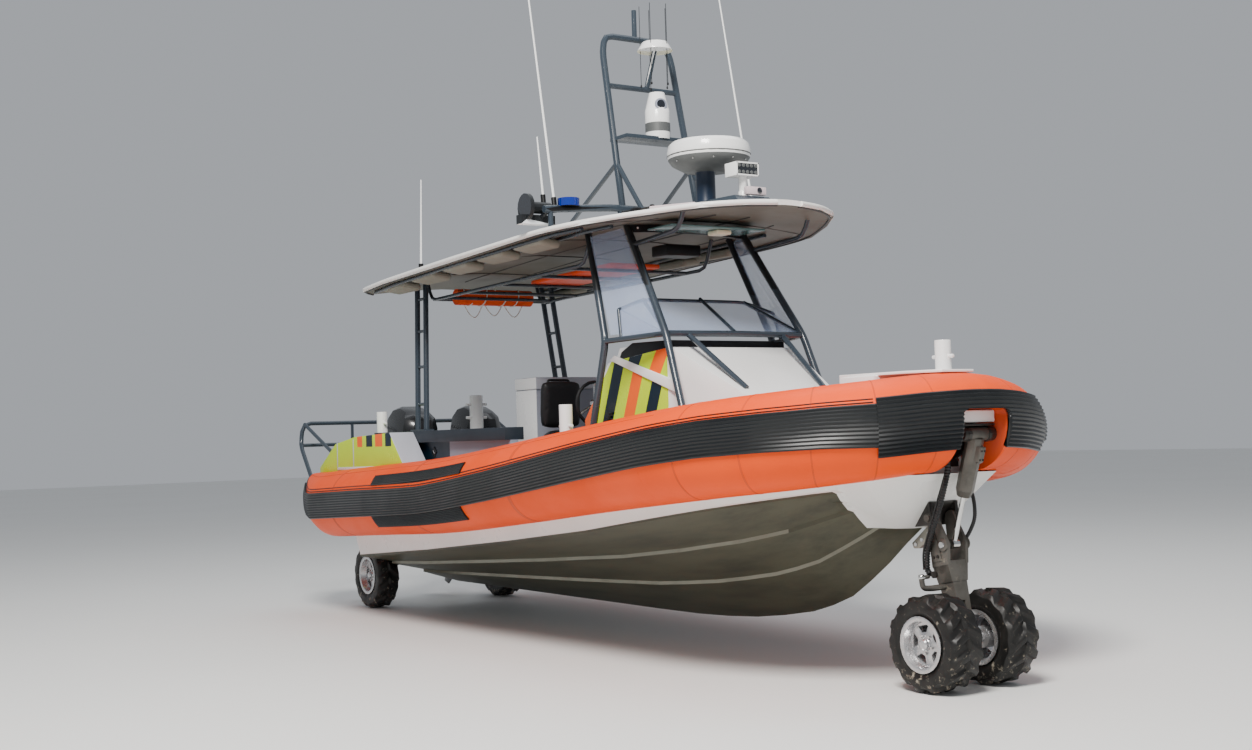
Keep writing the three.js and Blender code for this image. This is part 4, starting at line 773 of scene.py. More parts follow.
def strake_edges(t):
    """Lower and upper angle of the strake at a place, the same on both sides"""
    row = min(t, mirror_t(t))
    for (r0, a0, b0), (r1, a1, b1) in zip(STRAKE_REACH, STRAKE_REACH[1:]):
        if row <= r1:
            f = max(0.0, (row - r0) / (r1 - r0))
            return a0 + (a1 - a0) * f, b0 + (b1 - b0) * f
    return STRAKE_REACH[-1][1:]


def bead_angle(t):
    return strake_edges(t)[1] + 3.2


def make_strakes():
    work = Work()
    fender = (FENDER["row"], mirror_t(FENDER["row"]))
    for sign in BOTH:
        start, end = (STRAKE_START, fender[0] + 0.1) if sign > 0 else (fender[1] - 0.1,
                                                                       mirror_t(STRAKE_START))
        ribbed_band(work, [(t, *strake_edges(t)) for t in spread(start, end, 110)], 11, 0.020, 0.013,
                    "strake")
        aft, fore = t_of_x(PATCH["aft"]), t_of_x(PATCH["fore"])
        for lower in (True, False):
            places = []
            for t in spread(aft, fore, 30):
                edge = strake_edges(t)
                places.append((t, PATCH["below"], edge[0] - 0.3) if lower else (t, *PATCH["above"]))
            if sign < 0:
                places = [(mirror_t(t), a, b) for t, a, b in reversed(places)]
            ribbed_band(work, places, 9 if lower else 7, 0.0155, 0.009, "strake")
    work.done("side_strakes", "boat", ["rub_strake"])
    work = Work()
    band = [(t, FENDER["low"], FENDER["high"]) for t in spread(fender[0], fender[1], 70)]
    ribbed_band(work, band, 15, 0.026, 0.0175, "strake")
    cut_slot(work.done("bow_fender", "boat"), "strake")


# ---------------------------------------------------------------- dressing of the plain nodes
def recolour(piece, pick, cuts=()):
    """Other finishes for some faces, after cuts along planes (point, normal, where) in boat metres"""
    mesh = piece.data
    work = bmesh.new()
    work.from_mesh(mesh)
    for point, normal, where in cuts:
        near = [f for f in work.faces if where(f.calc_center_median() + SHIFT, f.normal)]
        edges = {e for f in near for e in f.edges}
        verts = {v for f in near for v in f.verts}
        bmesh.ops.bisect_plane(work, geom=near + list(edges) + list(verts), dist=1e-5,
                               plane_co=Vector(point) - SHIFT, plane_no=Vector(normal))
    names = [m.name for m in mesh.materials]
    for face in work.faces:
        key = pick(face.calc_center_median() + SHIFT, face.normal)
        if key:
            material = FINISH[key]
            if material.name not in names:
                mesh.materials.append(material)
                names.append(material.name)
            face.material_index = names.index(material.name)
    work.to_mesh(mesh)
    work.free()


def near_axis(c, x, y, reach):
    return math.hypot(c.x - x, c.y - y) < reach


# Console: slanted warning stripes on both flanks, in two panels parted by a raised band
LOW_STRIPES = {"start": 3.416, "pitch": 0.137, "lean": 0.42, "level": 1.73,
               "keys": ("orange_sheet", "yellow", "navy", "yellow", "orange_sheet", "yellow", "navy",
                        "yellow")}
HIGH_STRIPES = {"start": 3.740, "pitch": 0.160, "lean": 0.70, "level": 2.10,
                "keys": ("yellow", "yellow", "navy", "yellow", "orange_sheet", "yellow", "navy")}
BAND_LINE = {"x": 3.67, "z": 2.118, "fall": 0.306}
STRIPES_FOOT = 1.42
STRIPES_FRONT = 4.38
FLANK_Y = 0.5505


def on_side(c, n):
    return abs(c.y) > 0.535 and abs(n.y) > 0.9


def on_flank(c, n):
    return on_side(c, n) and c.z > STRIPES_FOOT


def stripe(table, c):
    k = math.floor((c.x - table["lean"] * (c.z - table["level"]) - table["start"]) / table["pitch"]) + 1
    return table["keys"][max(k, 0)] if k < len(table["keys"]) else None


def console_pick(c, n):
    if not on_flank(c, n) or c.x > STRIPES_FRONT:
        return None
    high = c.z > BAND_LINE["z"] - BAND_LINE["fall"] * (c.x - BAND_LINE["x"])
    return stripe(HIGH_STRIPES if high else LOW_STRIPES, c)


def dress_console():
    piece = softened("console", "white", 0.014, 3)
    cuts = [((0, 0, STRIPES_FOOT), (0, 0, 1), on_side),
            ((BAND_LINE["x"], 0, BAND_LINE["z"]), (BAND_LINE["fall"], 0, 1), on_side)]
    for table in (LOW_STRIPES, HIGH_STRIPES):
        for k in range(len(table["keys"])):
            cuts.append(((table["start"] + table["pitch"] * k, 0, table["level"]), (1, 0, -table["lean"]),
                         on_flank))
    cuts.append(((STRIPES_FRONT, 0, 2), (1, 0, 0), on_flank))
    recolour(piece, console_pick, cuts)
    trim = Work()
    for sign in BOTH:
        y = FLANK_Y * sign
        trim.prism([(3.655, y, 2.100), (4.475, y, 1.834), (4.475, y, 1.916), (3.720, y, 2.132)],
                   (0, 0.013 * sign, 0), "white", bevel=0.005, segments=3)
        # A small grille of slanting bars
        for z in (1.60, 1.625, 1.65, 1.675, 1.70):
            back = (z - 1.6) * 0.9
            y0, y1 = sorted((y, y + 0.016 * sign))
            trim.box((3.530 + back, y0, z), (3.580 + back, y1, z + 0.018), "black", bevel=0.004)
    trim.done("console_trim", "boat")
    dash = Work()
    dash.prism([(3.70, -0.52, 2.085), (4.36, -0.52, 2.13), (4.33, -0.50, 2.205), (3.86, -0.50, 2.215),
                (3.72, -0.50, 2.16)], (0, 1.04, 0), "black", bevel=0.012, segments=3)
    for y in (-0.36, 0.0, 0.36):
        dash.box((-0.012, -0.13, -0.085), (0.0, 0.13, 0.085), "dark_lens", bevel=0.006,
                 move=Matrix.Translation((3.640, y, 2.000)) @ Matrix.Rotation(math.radians(42), 4, "Y"))
    dash.done("dash_hood", "boat")


# Quarter boxes: yellow, with four short stripes high on each flank, a pale sloping front and panel seams
QUARTER_STRIPES = [(0.176, 0.288, "orange_sheet"), (0.375, 0.509, "navy"), (0.570, 0.723, "orange_sheet"),
                   (0.783, 0.908, "navy")]
STRIPE_FOOT = 1.515
QUARTER_Y = 1.0655


def quarter_pick(c, n):
    if n.x > 0.35 and c.x > 0.85:
        return "pale_grey"
    if abs(c.y) > 1.05 and c.z > STRIPE_FOOT and c.x < 0.908:
        for start, end, key in QUARTER_STRIPES:
            if start < c.x < end:
                return key
    return None


def dress_quarters():
    def outer(c, n):
        return abs(c.y) > 1.045

    cuts = [((0, 0, STRIPE_FOOT), (0, 0, 1), outer)]
    for start, end, _ in QUARTER_STRIPES:
        cuts += [((start, 0, 0), (1, 0, 0), outer), ((end, 0, 0), (1, 0, 0), outer)]
    trim = Work()
    for side, sign in SIDES.items():
        piece = softened("quarter_box_" + side, "yellow", 0.010, 3)
        recolour(piece, quarter_pick, cuts)
        y = QUARTER_Y * sign
        y0, y1 = sorted((y, 1.0695 * sign))
        for x in (-0.281, 0.092):
            trim.box((x - 0.008, y0, 1.335), (x + 0.008, y1, 1.56 + (0.03 if x > 0 else 0)), "pale_grey",
                     bevel=0.0015)
        trim.prism([(-0.281, y, 1.305), (1.165, y, 1.328), (1.158, y, 1.352), (-0.281, y, 1.332)],
                   (0, 0.006 * sign, 0), "white", bevel=0.002)
    trim.done("quarter_trim", "boat")


# Bulwarks: dark cap, pale top plate, navy panel with a latch, white bollards
BOLLARDS = [(0.105, 0.784, 0.16, 1.6415), (3.325, 0.75, 0.14, 1.5015)]
NAVY_PANEL = {"aft": 0.80, "fore": 1.47, "foot": 1.37}


def bulwark_pick(c, n):
    y = abs(c.y)
    if any(math.hypot(c.x - x0, y - y0) < reach and c.z > foot for x0, y0, reach, foot in BOLLARDS):
        return "white"
    if c.x < 2.535 and c.z > 1.535:
        return "pale_grey" if n.z > 0.7 and c.x > 1.0 else "cap_grey"
    along_panel = NAVY_PANEL["aft"] < c.x < NAVY_PANEL["fore"]
    if along_panel and NAVY_PANEL["foot"] < c.z < 1.54 and abs(n.y) > 0.7 and y > 0.75:
        return "navy"
    return None


def dress_bulwarks():
    def wall(c, n):
        return abs(c.y) > 0.75 and abs(n.y) > 0.7 and c.z < 1.545

    cuts = [((NAVY_PANEL[end], 0, 0), (1, 0, 0), wall) for end in ("aft", "fore")]
    cuts.append(((0, 0, NAVY_PANEL["foot"]), (0, 0, 1), wall))
    latch = Work()
    for side, sign in SIDES.items():
        recolour(softened("bulwark_" + side, "slate_light", 0.006), bulwark_pick, cuts)
        turn = Matrix.Translation((1.18, 0.787 * sign, 1.455)) @ Matrix.Rotation(math.radians(45), 4, "Y")
        latch.box((-0.034, -0.004, -0.034), (0.034, 0.004, 0.034), "black", bevel=0.006, move=turn)
        latch.box((-0.020, -0.009, -0.006), (0.020, 0.009, 0.006), "steel", bevel=0.003, move=turn)
    latch.done("panel_latches", "boat")


# Locker: white flanks and grey ends
def dress_locker():
    recolour(softened("locker", "white", 0.010), lambda c, n: "slate_light" if abs(n.x) > 0.7 else None)
    recolour(softened("locker_lid", "pale_grey", 0.010), lambda c, n: "white" if abs(n.y) > 0.7 else None)


# Upright axes of the gear on the hardtop, as x and y
RADOME = (4.2, 0)
FINDER = (3.495, 0.04)
CAMERA_POST = (3.56, 0)
BEACONS = ((3.65, -0.87), (3.65, 0.95))
AFTER_LAMP = (1.47, -1.0)
DOME_RIM = 3.535
CAMERA_BAND = (3.845, 3.915)


def radar_pick(c, n):
    if near_axis(c, *RADOME, 0.33) and c.z > 3.44:
        # Below the rim the white radome's underside is painted dark grey: painted shade
        return "dome_grey" if c.z < DOME_RIM else "white"
    if c.z > 3.199:
        return "pedestal" if c.x < 4.4 else "white"
    return "slate"


def light_bar_pick(c, n):
    for beacon in BEACONS:
        if near_axis(c, *beacon, 0.083) and c.z > 3.19:
            return "blue_lens" if c.z > 3.245 else "black"
    for x, y, foot, lean in ((3.59, -0.95, 3.2, -0.184), (3.45, -0.96, 3.24, -0.14), (3.59, 0.89, 3.2, -0.2)):
        if near_axis(c, x + lean * (c.z - foot), y, 0.024) and c.z > foot + 0.02:
            return "white" if c.z > foot + 0.09 else "black"
    if abs(c.x - 3.49) < 0.105 and c.y < -0.935 and c.z > 3.12:
        return "dark_lens" if n.y < -0.9 and near_axis(Vector((c.x, c.z, 0)), 3.49, 3.222,
                                                       0.085) else "slate_dark"
    if 3.43 < c.x < 3.53 and c.y < -0.9 and c.z < 3.17:
        return "lens" if n.x > 0.7 else "white"
    return None


def mast_pick(c, n):
    if near_axis(c, *CAMERA_POST, 0.11) and c.z > 3.8025:
        return "dome_grey" if CAMERA_BAND[0] < c.z < CAMERA_BAND[1] else "white"
    if near_axis(c, *FINDER, 0.135) and c.z > 4.4:
        return "cream" if c.z > 4.493 else None
    return None


def hardtop_pick(c, n):
    if near_axis(c, *AFTER_LAMP, 0.05):
        return "white" if c.z > 3.06 else "black"
    # Every downward face of the hardtop takes the darkened lining colour: beige lining with painted shade
    return "beige" if n.z < -0.5 else None


def pressed(piece, x, y, reach, foot, lower, wider):
    """Makes a round part about an upright axis lower above its foot, and its top wider"""
    for vertex in piece.data.vertices:
        out = Vector((vertex.co.x + ORIGIN_X - x, vertex.co.y - y, 0))
        if out.length < reach and vertex.co.z > foot:
            vertex.co.z = foot + (vertex.co.z - foot) * lower
            if out.length < reach / wider:
                vertex.co.x += out.x * (wider - 1)
                vertex.co.y += out.y * (wider - 1)


def dress_gear():
    recolour(softened("radar", "white", 0.004), radar_pick,
             [((0, 0, DOME_RIM), (0, 0, 1), lambda c, n: c.z > 3.45)])
    recolour(softened("searchlight", "white", 0.012, 3), lambda c, n: "dark_lens" if n.x > 0.7
             and c.z > 3.35 else None)
    bar = softened("light_bar", "slate", 0)
    recolour(bar, light_bar_pick)
    for beacon in BEACONS:
        pressed(bar, *beacon, 0.086, 3.238, 0.62, 1.12)
    # Camera lens, and the rods that ring the direction finder's post
    camera = Work()
    aim = Vector((0.97, -0.22, 0.05)).normalized()
    eye = Vector((*CAMERA_POST, 4.045)) + aim * 0.070
    camera.lathe([(0.046, 0), (0.050, 0.008), (0.046, 0.018), (0.036, 0.020), (0.034, 0.014), (0.0, 0.013)],
                 eye, aim, "slate_light", 28)
    camera.lathe([(0.0335, 0.0135), (0.030, 0.019), (0.018, 0.023), (0.0, 0.024)], eye, aim, "dark_lens", 24)
    for k in range(5):
        a = FULL_TURN * (k + 0.3) / 5
        x, y = FINDER[0] + 0.112 * math.cos(a), FINDER[1] + 0.112 * math.sin(a)
        camera.tube([(x, y, 4.225), (x, y, 4.845)], 0.0024, "slate_dark", sides=8)
        camera.lathe([(0, 4.212), (0.0065, 4.216), (0.0065, 4.232), (0, 4.236)], (x, y, 0), (0, 0, 1),
                     "black", 10)
        camera.tube([(*FINDER, 4.505), (x, y, 4.505)], 0.004, "cream", sides=8)
    camera.done("masthead_detail", "boat")
    mast = softened("mast", "slate", 0.002)
    recolour(mast, mast_pick,
             [((0, 0, z), (0, 0, 1), lambda c, n: near_axis(c, *CAMERA_POST, 0.11)) for z in CAMERA_BAND])
    pressed(mast, *FINDER, 0.14, 4.495, 0.68, 1.10)
    recolour(softened("hardtop", "roof_white", 0), hardtop_pick)
    recolour(softened("steering_wheel", "black", 0),
             lambda c, n: "steel" if math.hypot(c.y + 0.35, c.z - 1.8) < 0.145 else None)


# ---------------------------------------------------------------- repeated parts, grown by Geometry Nodes
def new_tree(name, inputs):
    tree = bpy.data.node_groups.new(name, "GeometryNodeTree")
    tree.interface.new_socket("Geometry", in_out="INPUT", socket_type="NodeSocketGeometry")
    for label, kind in inputs:
        tree.interface.new_socket(label, in_out="INPUT", socket_type=kind)
    tree.interface.new_socket("Geometry", in_out="OUTPUT", socket_type="NodeSocketGeometry")
    return tree, tree.nodes.new("NodeGroupInput"), tree.nodes.new("NodeGroupOutput")


def end_tree(tree, source, sink, geometry):
    realize = add(tree, "GeometryNodeRealizeInstances", Geometry=geometry)
    coat = add(tree, "GeometryNodeSetMaterial", Geometry=realize.outputs["Geometry"],
               Material=source.outputs["Finish"])
    tree.links.new(coat.outputs["Geometry"], sink.inputs["Geometry"])


# A tapered head on every point, standing along the point's own "facing"
def make_heads_tree():
    tree, source, sink = new_tree("heads_on_points", [
        ("Radius", "NodeSocketFloat"), ("Taper", "NodeSocketFloat"), ("Height", "NodeSocketFloat"),
        ("Sides", "NodeSocketInt"), ("Finish", "NodeSocketMaterial")])
    given = source.outputs
    head = add(tree, "GeometryNodeMeshCone", Vertices=given["Sides"], Radius_Bottom=given["Radius"],
               Radius_Top=calc(tree, "MULTIPLY", given["Radius"], given["Taper"]), Depth=given["Height"])
    facing = add(tree, "GeometryNodeInputNamedAttribute", {"data_type": "FLOAT_VECTOR"}, Name="facing")
    turn = add(tree, "FunctionNodeAlignRotationToVector", {"axis": "Z"}, Vector=facing.outputs["Attribute"])
    spread_out = add(tree, "GeometryNodeInstanceOnPoints", Points=given["Geometry"],
                     Instance=head.outputs["Mesh"], Rotation=turn.outputs["Rotation"])
    end_tree(tree, source, sink, spread_out.outputs["Instances"])
    return tree


# A round hose along a line of points, ribbed at a steady pitch
def make_hose_tree():
    tree, source, sink = new_tree("ribbed_hose", [
        ("Radius", "NodeSocketFloat"), ("Pitch", "NodeSocketFloat"), ("Rib", "NodeSocketFloat"),
        ("Finish", "NodeSocketMaterial")])
    given = source.outputs
    line = add(tree, "GeometryNodeMeshToCurve", Mesh=given["Geometry"])
    even = add(tree, "GeometryNodeResampleCurve", {"mode": "LENGTH"}, Curve=line.outputs["Curve"],
               Length=calc(tree, "MULTIPLY", given["Pitch"], 0.25))
    place = tree.nodes.new("GeometryNodeSplineParameter")
    ribs = calc(tree, "DIVIDE", place.outputs["Length"], given["Pitch"])
    wave = calc(tree, "MULTIPLY_ADD", calc(tree, "SINE", calc(tree, "MULTIPLY", ribs, FULL_TURN)),
                given["Rib"], 1.0)
    ring = add(tree, "GeometryNodeCurvePrimitiveCircle", Resolution=10, Radius=given["Radius"])
    skin = add(tree, "GeometryNodeCurveToMesh", Fill_Caps=True, Curve=even.outputs["Curve"],
               Profile_Curve=ring.outputs["Curve"], Scale=wave)
    end_tree(tree, source, sink, skin.outputs["Mesh"])
    return tree


TREES = {"heads": make_heads_tree(), "hose": make_hose_tree()}


def grown(name, mesh, tree_key, values, angle=35):
    """The plain mesh that a tree makes from a few points, as a new object"""
    piece = new_object(name, mesh)
    grow = piece.modifiers.new("grow", "NODES")
    grow.node_group = TREES[tree_key]
    for item in TREES[tree_key].interface.items_tree:
        if item.in_out == "INPUT" and item.name in values:
            grow[item.identifier] = values[item.name]
    plain = applied(piece)
    work = bmesh.new()
    work.from_mesh(plain)
    bmesh.ops.recalc_face_normals(work, faces=work.faces)
    smooth_by_angle(work, angle)
    work.to_mesh(plain)
    work.free()
    return piece


def fasteners(name, body, places, radius, height, key, sides=6, taper=0.86):
    """Heads at places, each a point and the way it faces, in boat metres"""
    mesh = bpy.data.meshes.new(name)
    mesh.from_pydata([tuple(Vector(p) - SHIFT) for p, _ in places], [], [])
    facing = mesh.attributes.new("facing", "FLOAT_VECTOR", "POINT")
    facing.data.foreach_set("vector", [c for _, n in places for c in Vector(n).normalized()])
    piece = grown(name, mesh, "heads", {"Radius": radius, "Taper": taper, "Height": height, "Sides": sides,
                                        "Finish": FINISH[key]})
    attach(piece, body)
    return piece


def hose(name, corners, radius, key, pitch=0.012, rib=0.10, bend=0.05):
    path = [p - SHIFT for p in bent(corners, bend, 6)]
    mesh = bpy.data.meshes.new(name)
    mesh.from_pydata([tuple(p) for p in path], [(i, i + 1) for i in range(len(path) - 1)], [])
    piece = grown(name, mesh, "hose", {"Radius": radius, "Pitch": pitch, "Rib": rib, "Finish": FINISH[key]},
                  60)
    return piece


# ---------------------------------------------------------------- hull
def chine_height(x):
    for (x0, z0), (x1, z1) in zip(CHINE, CHINE[1:]):
        if x <= x1:
            return z0 + (z1 - z0) * (x - x0) / (x1 - x0)
    return CHINE[-1][1]


def dress_hull():
    def rail(c, n):
        bottom = c.z < chine_height(c.x) - 0.05 and c.x < 6.3
        return "rail_metal" if bottom and abs(n.y) > 0.75 and abs(c.y) < 0.8 and c.z < 0.93 else None

    recolour(softened("hull", "hull"), rail)
    # Eye plate under the forefoot
    plate = Work()
    outline = [(6.170, 0.835), (6.300, 0.937), (6.365, 0.937), (6.345, 0.880), (6.235, 0.805), (6.185, 0.803)]
    plate.prism([(x, -0.016, z) for x, z in outline], (0, 0.032, 0), "plate", bevel=0.004)
    plate.done("eye_plate", "boat")
    bushes = [((x, s * 0.0162, z), (0, s, 0)) for s in (-1, 1) for x, z in ((6.205, 0.828), (6.258, 0.858),
                                                                            (6.318, 0.900))]
    fasteners("eye_plate_bushes", "boat", bushes, 0.014, 0.004, "steel", sides=14)


# ---------------------------------------------------------------- bow leg
HINGE = Vector((6.416, 0, 1.000))
EYE = Vector((6.510, 0, 0.843))
TRUNNION = Vector((6.722, 0, 1.494))
BOW_AXLE = Vector((6.560, 0, 0.285))
REAR_AXLE = Vector((-0.350, 0, 0.310))


def along(origin, tip, x, y, z):
    """Point in the frame of a member that hangs from origin towards tip"""
    down = (tip - origin).normalized()
    ahead = Vector((-down.z, 0, down.x))
    return origin + ahead * x + Vector((0, y, 0)) - down * z


def on_leg(x, y, z):
    return along(HINGE, BOW_AXLE, x, y, z)


def on_ram(x, y, z):
    return along(TRUNNION, EYE, x, y, z)


def dress_bow_leg():
    # Hoses come down the slot beside the ram and pass the hinge, the thick one to the steering cylinder
    y = -0.134
    main = hose("leg_hose", [(6.600, y, 1.420), (6.625, y, 1.300), (6.535, y, 1.060), (6.470, y, 0.930),
                             (6.395, y + 0.025, 0.800), (6.385, y + 0.030, 0.690), (6.415, -0.110, 0.664)],
                0.0165, "hose", pitch=0.017, rib=0.17, bend=0.09)
    thin = hose("leg_hose_thin", [(6.580, y + 0.012, 1.420), (6.598, y + 0.012, 1.300),
                                  (6.505, y - 0.012, 1.040),
                                  (6.440, y - 0.010, 0.900), (6.375, y + 0.010, 0.790),
                                  (6.362, y + 0.026, 0.690)],
                0.0065, "hose", rib=0.0, bend=0.09)
    far = hose("leg_hose_port", [(6.510, 0.120, 1.420), (6.515, 0.115, 1.230), (6.578, 0.112, 1.110),
                                 (6.582, 0.112, 0.990), (6.534, 0.104, 0.900), (6.490, 0.098,
                                                         0.850)], 0.0115, "hose", rib=0.14, bend=0.09)
    for piece in (main, thin, far):
        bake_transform(piece)
    band = Work()
    band.tube([(6.566, y + 0.012, 1.212), (6.559, y + 0.010, 1.192)], 0.0095, "green_band", sides=12)
    band.done("hose_band", "boat")
    # End cap of the steering cylinder, webs, and the rounds about the ram's eye and the hinge
    leg = Work()
    leg.lathe([(0.0, 0), (0.018, 0), (0.021, 0.004), (0.021, 0.022), (0.0, 0.026)],
              on_leg(-0.030, -0.100, -0.335), (0, -1, 0), "leg_dark", 20)
    for sign in BOTH:
        leg.prism([on_leg(x, 0.0872 * sign, z) for x, z in ((-0.040, -0.08), (0.005, -0.08), (0.028, -0.20),
                                                              (0.030, -0.262), (-0.046, -0.262))],
                  (0, 0.007 * sign, 0), "leg", bevel=0.003)
        leg.lathe([(0.040, 0), (0.038, 0.010), (0.033, 0.013), (0.0, 0.013)],
                  EYE + Vector((0, 0.0868 * sign, 0)), (0, sign, 0), "leg", 28)
        leg.lathe([(0.044, 0), (0.042, 0.005), (0.0, 0.006)], HINGE + Vector((0, 0.0868 * sign, 0)),
                  (0, sign, 0), "leg", 28)
    leg.done("leg_webs", "bow_leg")
    arm = Work()
    elbow = [on_leg(*place) for place in ((-0.020, -0.045, -0.412), (-0.045, -0.150, -0.412),
                                          (-0.062, -0.192, -0.405), (-0.062, -0.192, -0.350))]
    arm.tube(bent(elbow, 0.04), 0.0185, "leg", sides=16, end_radius=0.0160)
    arm.done("steering_arm_cover", "bow_foot")
    ends = Work()
    profile = [(0.0, 0), (0.014, 0.001), (0.019, 0.006), (0.019, 0.028), (0.012, 0.034), (0.012, 0.07),
               (0.0, 0.07)]
    ends.lathe(profile, on_leg(-0.062, -0.206, -0.342), (0, 1, 0), "steel", 20)
    ends.done("steering_cylinder_end", "bow_foot")
    heads = [(on_leg(x, s * 0.0945, z), (0, s, 0)) for s in BOTH
             for x, z in ((-0.010, -0.11), (0.006, -0.235), (-0.030, -0.235))]
    fasteners("leg_bolts", "bow_leg", heads, 0.011, 0.008, "leg_dark")
    eyes = [(EYE + Vector((0, s * 0.099, 0)), (0, s, 0)) for s in BOTH]
    fasteners("eye_pins", "bow_leg", eyes, 0.021, 0.010, "steel", sides=20)
    pins = [(HINGE + Vector((0, s * 0.118, 0)), (0, s, 0)) for s in BOTH]
    pins += [(TRUNNION + Vector((0, s * 0.128, 0)), (0, s, 0)) for s in BOTH]
    fasteners("hinge_pins", "boat", pins, 0.026, 0.009, "leg", sides=20)
    plate_bolts = [((6.455, s * 0.112, z), (1, 0, 0)) for s in BOTH for z in (1.34, 1.42, 1.50)]
    fasteners("bracket_bolts", "boat", plate_bolts, 0.009, 0.007, "steel")
    # Bump block on the ram's housing, and its bolts
    ram = Work()
    ram.prism([on_ram(0.050, -0.020, -0.070), on_ram(0.080, -0.020, -0.062), on_ram(0.080, -0.020, -0.150),
               on_ram(0.062, -0.020, -0.165)], (0, 0.040, 0), "leg", bevel=0.004)
    ram.done("ram_bump_block", "bow_ram_barrel")
    bumps = [(on_ram(0.0745, s * 0.012, z), (1, 0, 0.3)) for s in BOTH for z in (-0.085, -0.14)]
    fasteners("ram_bump_bolts", "bow_ram_barrel", bumps, 0.006, 0.012, "leg_dark")
    # White and dark panels that close the slot behind the trunnion
    slot = Work()
    slot.box((6.46, -0.160, 1.560), (6.735, 0.150, 1.634), "white", bevel=0.010, segments=3)
    slot.box((6.46, -0.135, 1.540), (6.752, 0.130, 1.554), "leg_dark", bevel=0.004)
    slot.done("slot_panels", "boat")


def dress_wheels():
    # Body, axle, sides, distance of the outer face from the middle, radius of the studs' ring and of the cap
    rows = [("bow_wheels", BOW_AXLE, BOTH, 0.305, 0.054, 0.034)]
    rows += [("rear_wheel_" + side, REAR_AXLE, (sign,), 0.723, 0.050, 0.032) for side, sign in SIDES.items()]
    for body, axle, signs, face, ring, cap in rows:
        studs = []
        hub = Work()
        for sign in signs:
            for k in range(5):
                a = FULL_TURN * (k + 0.5) / 5
                studs.append((axle + Vector((ring * math.sin(a), sign * (face - 0.001), ring * math.cos(a))),
                              (0, sign, 0)))
            profile = [(cap + 0.006, -0.002), (cap + 0.004, 0.006), (cap, 0.010), (cap * 0.95, 0.024),
                       (cap * 0.7, 0.032), (0.0, 0.034)]
            hub.lathe(profile, axle + Vector((0, sign * face, 0)), (0, sign, 0), "alloy", 28)
        fasteners("studs_" + body, body, studs, 0.0085, 0.014, "steel")
        hub.done("hub_cap_" + body, body)


# Roof frame: the raked posts are black from the side rail up
SIDE_RAIL = 2.60


def dress_frame():
    def post(c, n):
        return c.x < 4.3

    def dark(c, n):
        return "slate_dark" if c.z > SIDE_RAIL and c.x < 4.25 else None

    recolour(softened("roof_frame", "slate"), dark, [((0, 0, SIDE_RAIL), (0, 0, 1), post)])


# ---------------------------------------------------------------- hardtop
ROOF = [(0.30, 0.940, 2.890, 0.070), (0.42, 1.080, 2.895, 0.080), (0.90, 1.105, 2.920, 0.085),
        (2.19, 1.105, 2.970, 0.090), (3.62, 1.105, 3.012, 0.080), (4.10, 1.030, 3.020, 0.070),
        (4.55, 0.800, 3.038, 0.050), (4.88, 0.580, 3.054, 0.035), (5.035, 0.330, 3.064, 0.018),
        (5.09, 0.110, 3.068, 0.005)]


def arch(across):
    """The roof's crown is built of flats between these places"""
    bends = (0.0, 0.25, 0.62, 1.0)
    for a, b in zip(bends, bends[1:]):
        if abs(across) <= b:
            f = (abs(across) - a) / (b - a)
            start, end = 1 - max(a, 0.25) ** 2, 1 - b * b
            return start + (end - start) * f
    return 0.0


def roof_under(x, across):
    """Point on the roof's lower face, across from -1 at the starboard edge to 1 at the port edge"""
    for row, after in zip(ROOF, ROOF[1:]):
        if x <= after[0]:
            f = (x - row[0]) / (after[0] - row[0])
            half, edge, crown = (a + (b - a) * f for a, b in zip(row[1:], after[1:]))
            return Vector((x, half * across, edge + crown * arch(across)))
    return Vector((x, 0, ROOF[-1][2]))


def roof_spread(start, end, count, across, drop=0.0):
    return [roof_under(x, across) - Vector((0, 0, drop)) for x in spread(start, end, count)]


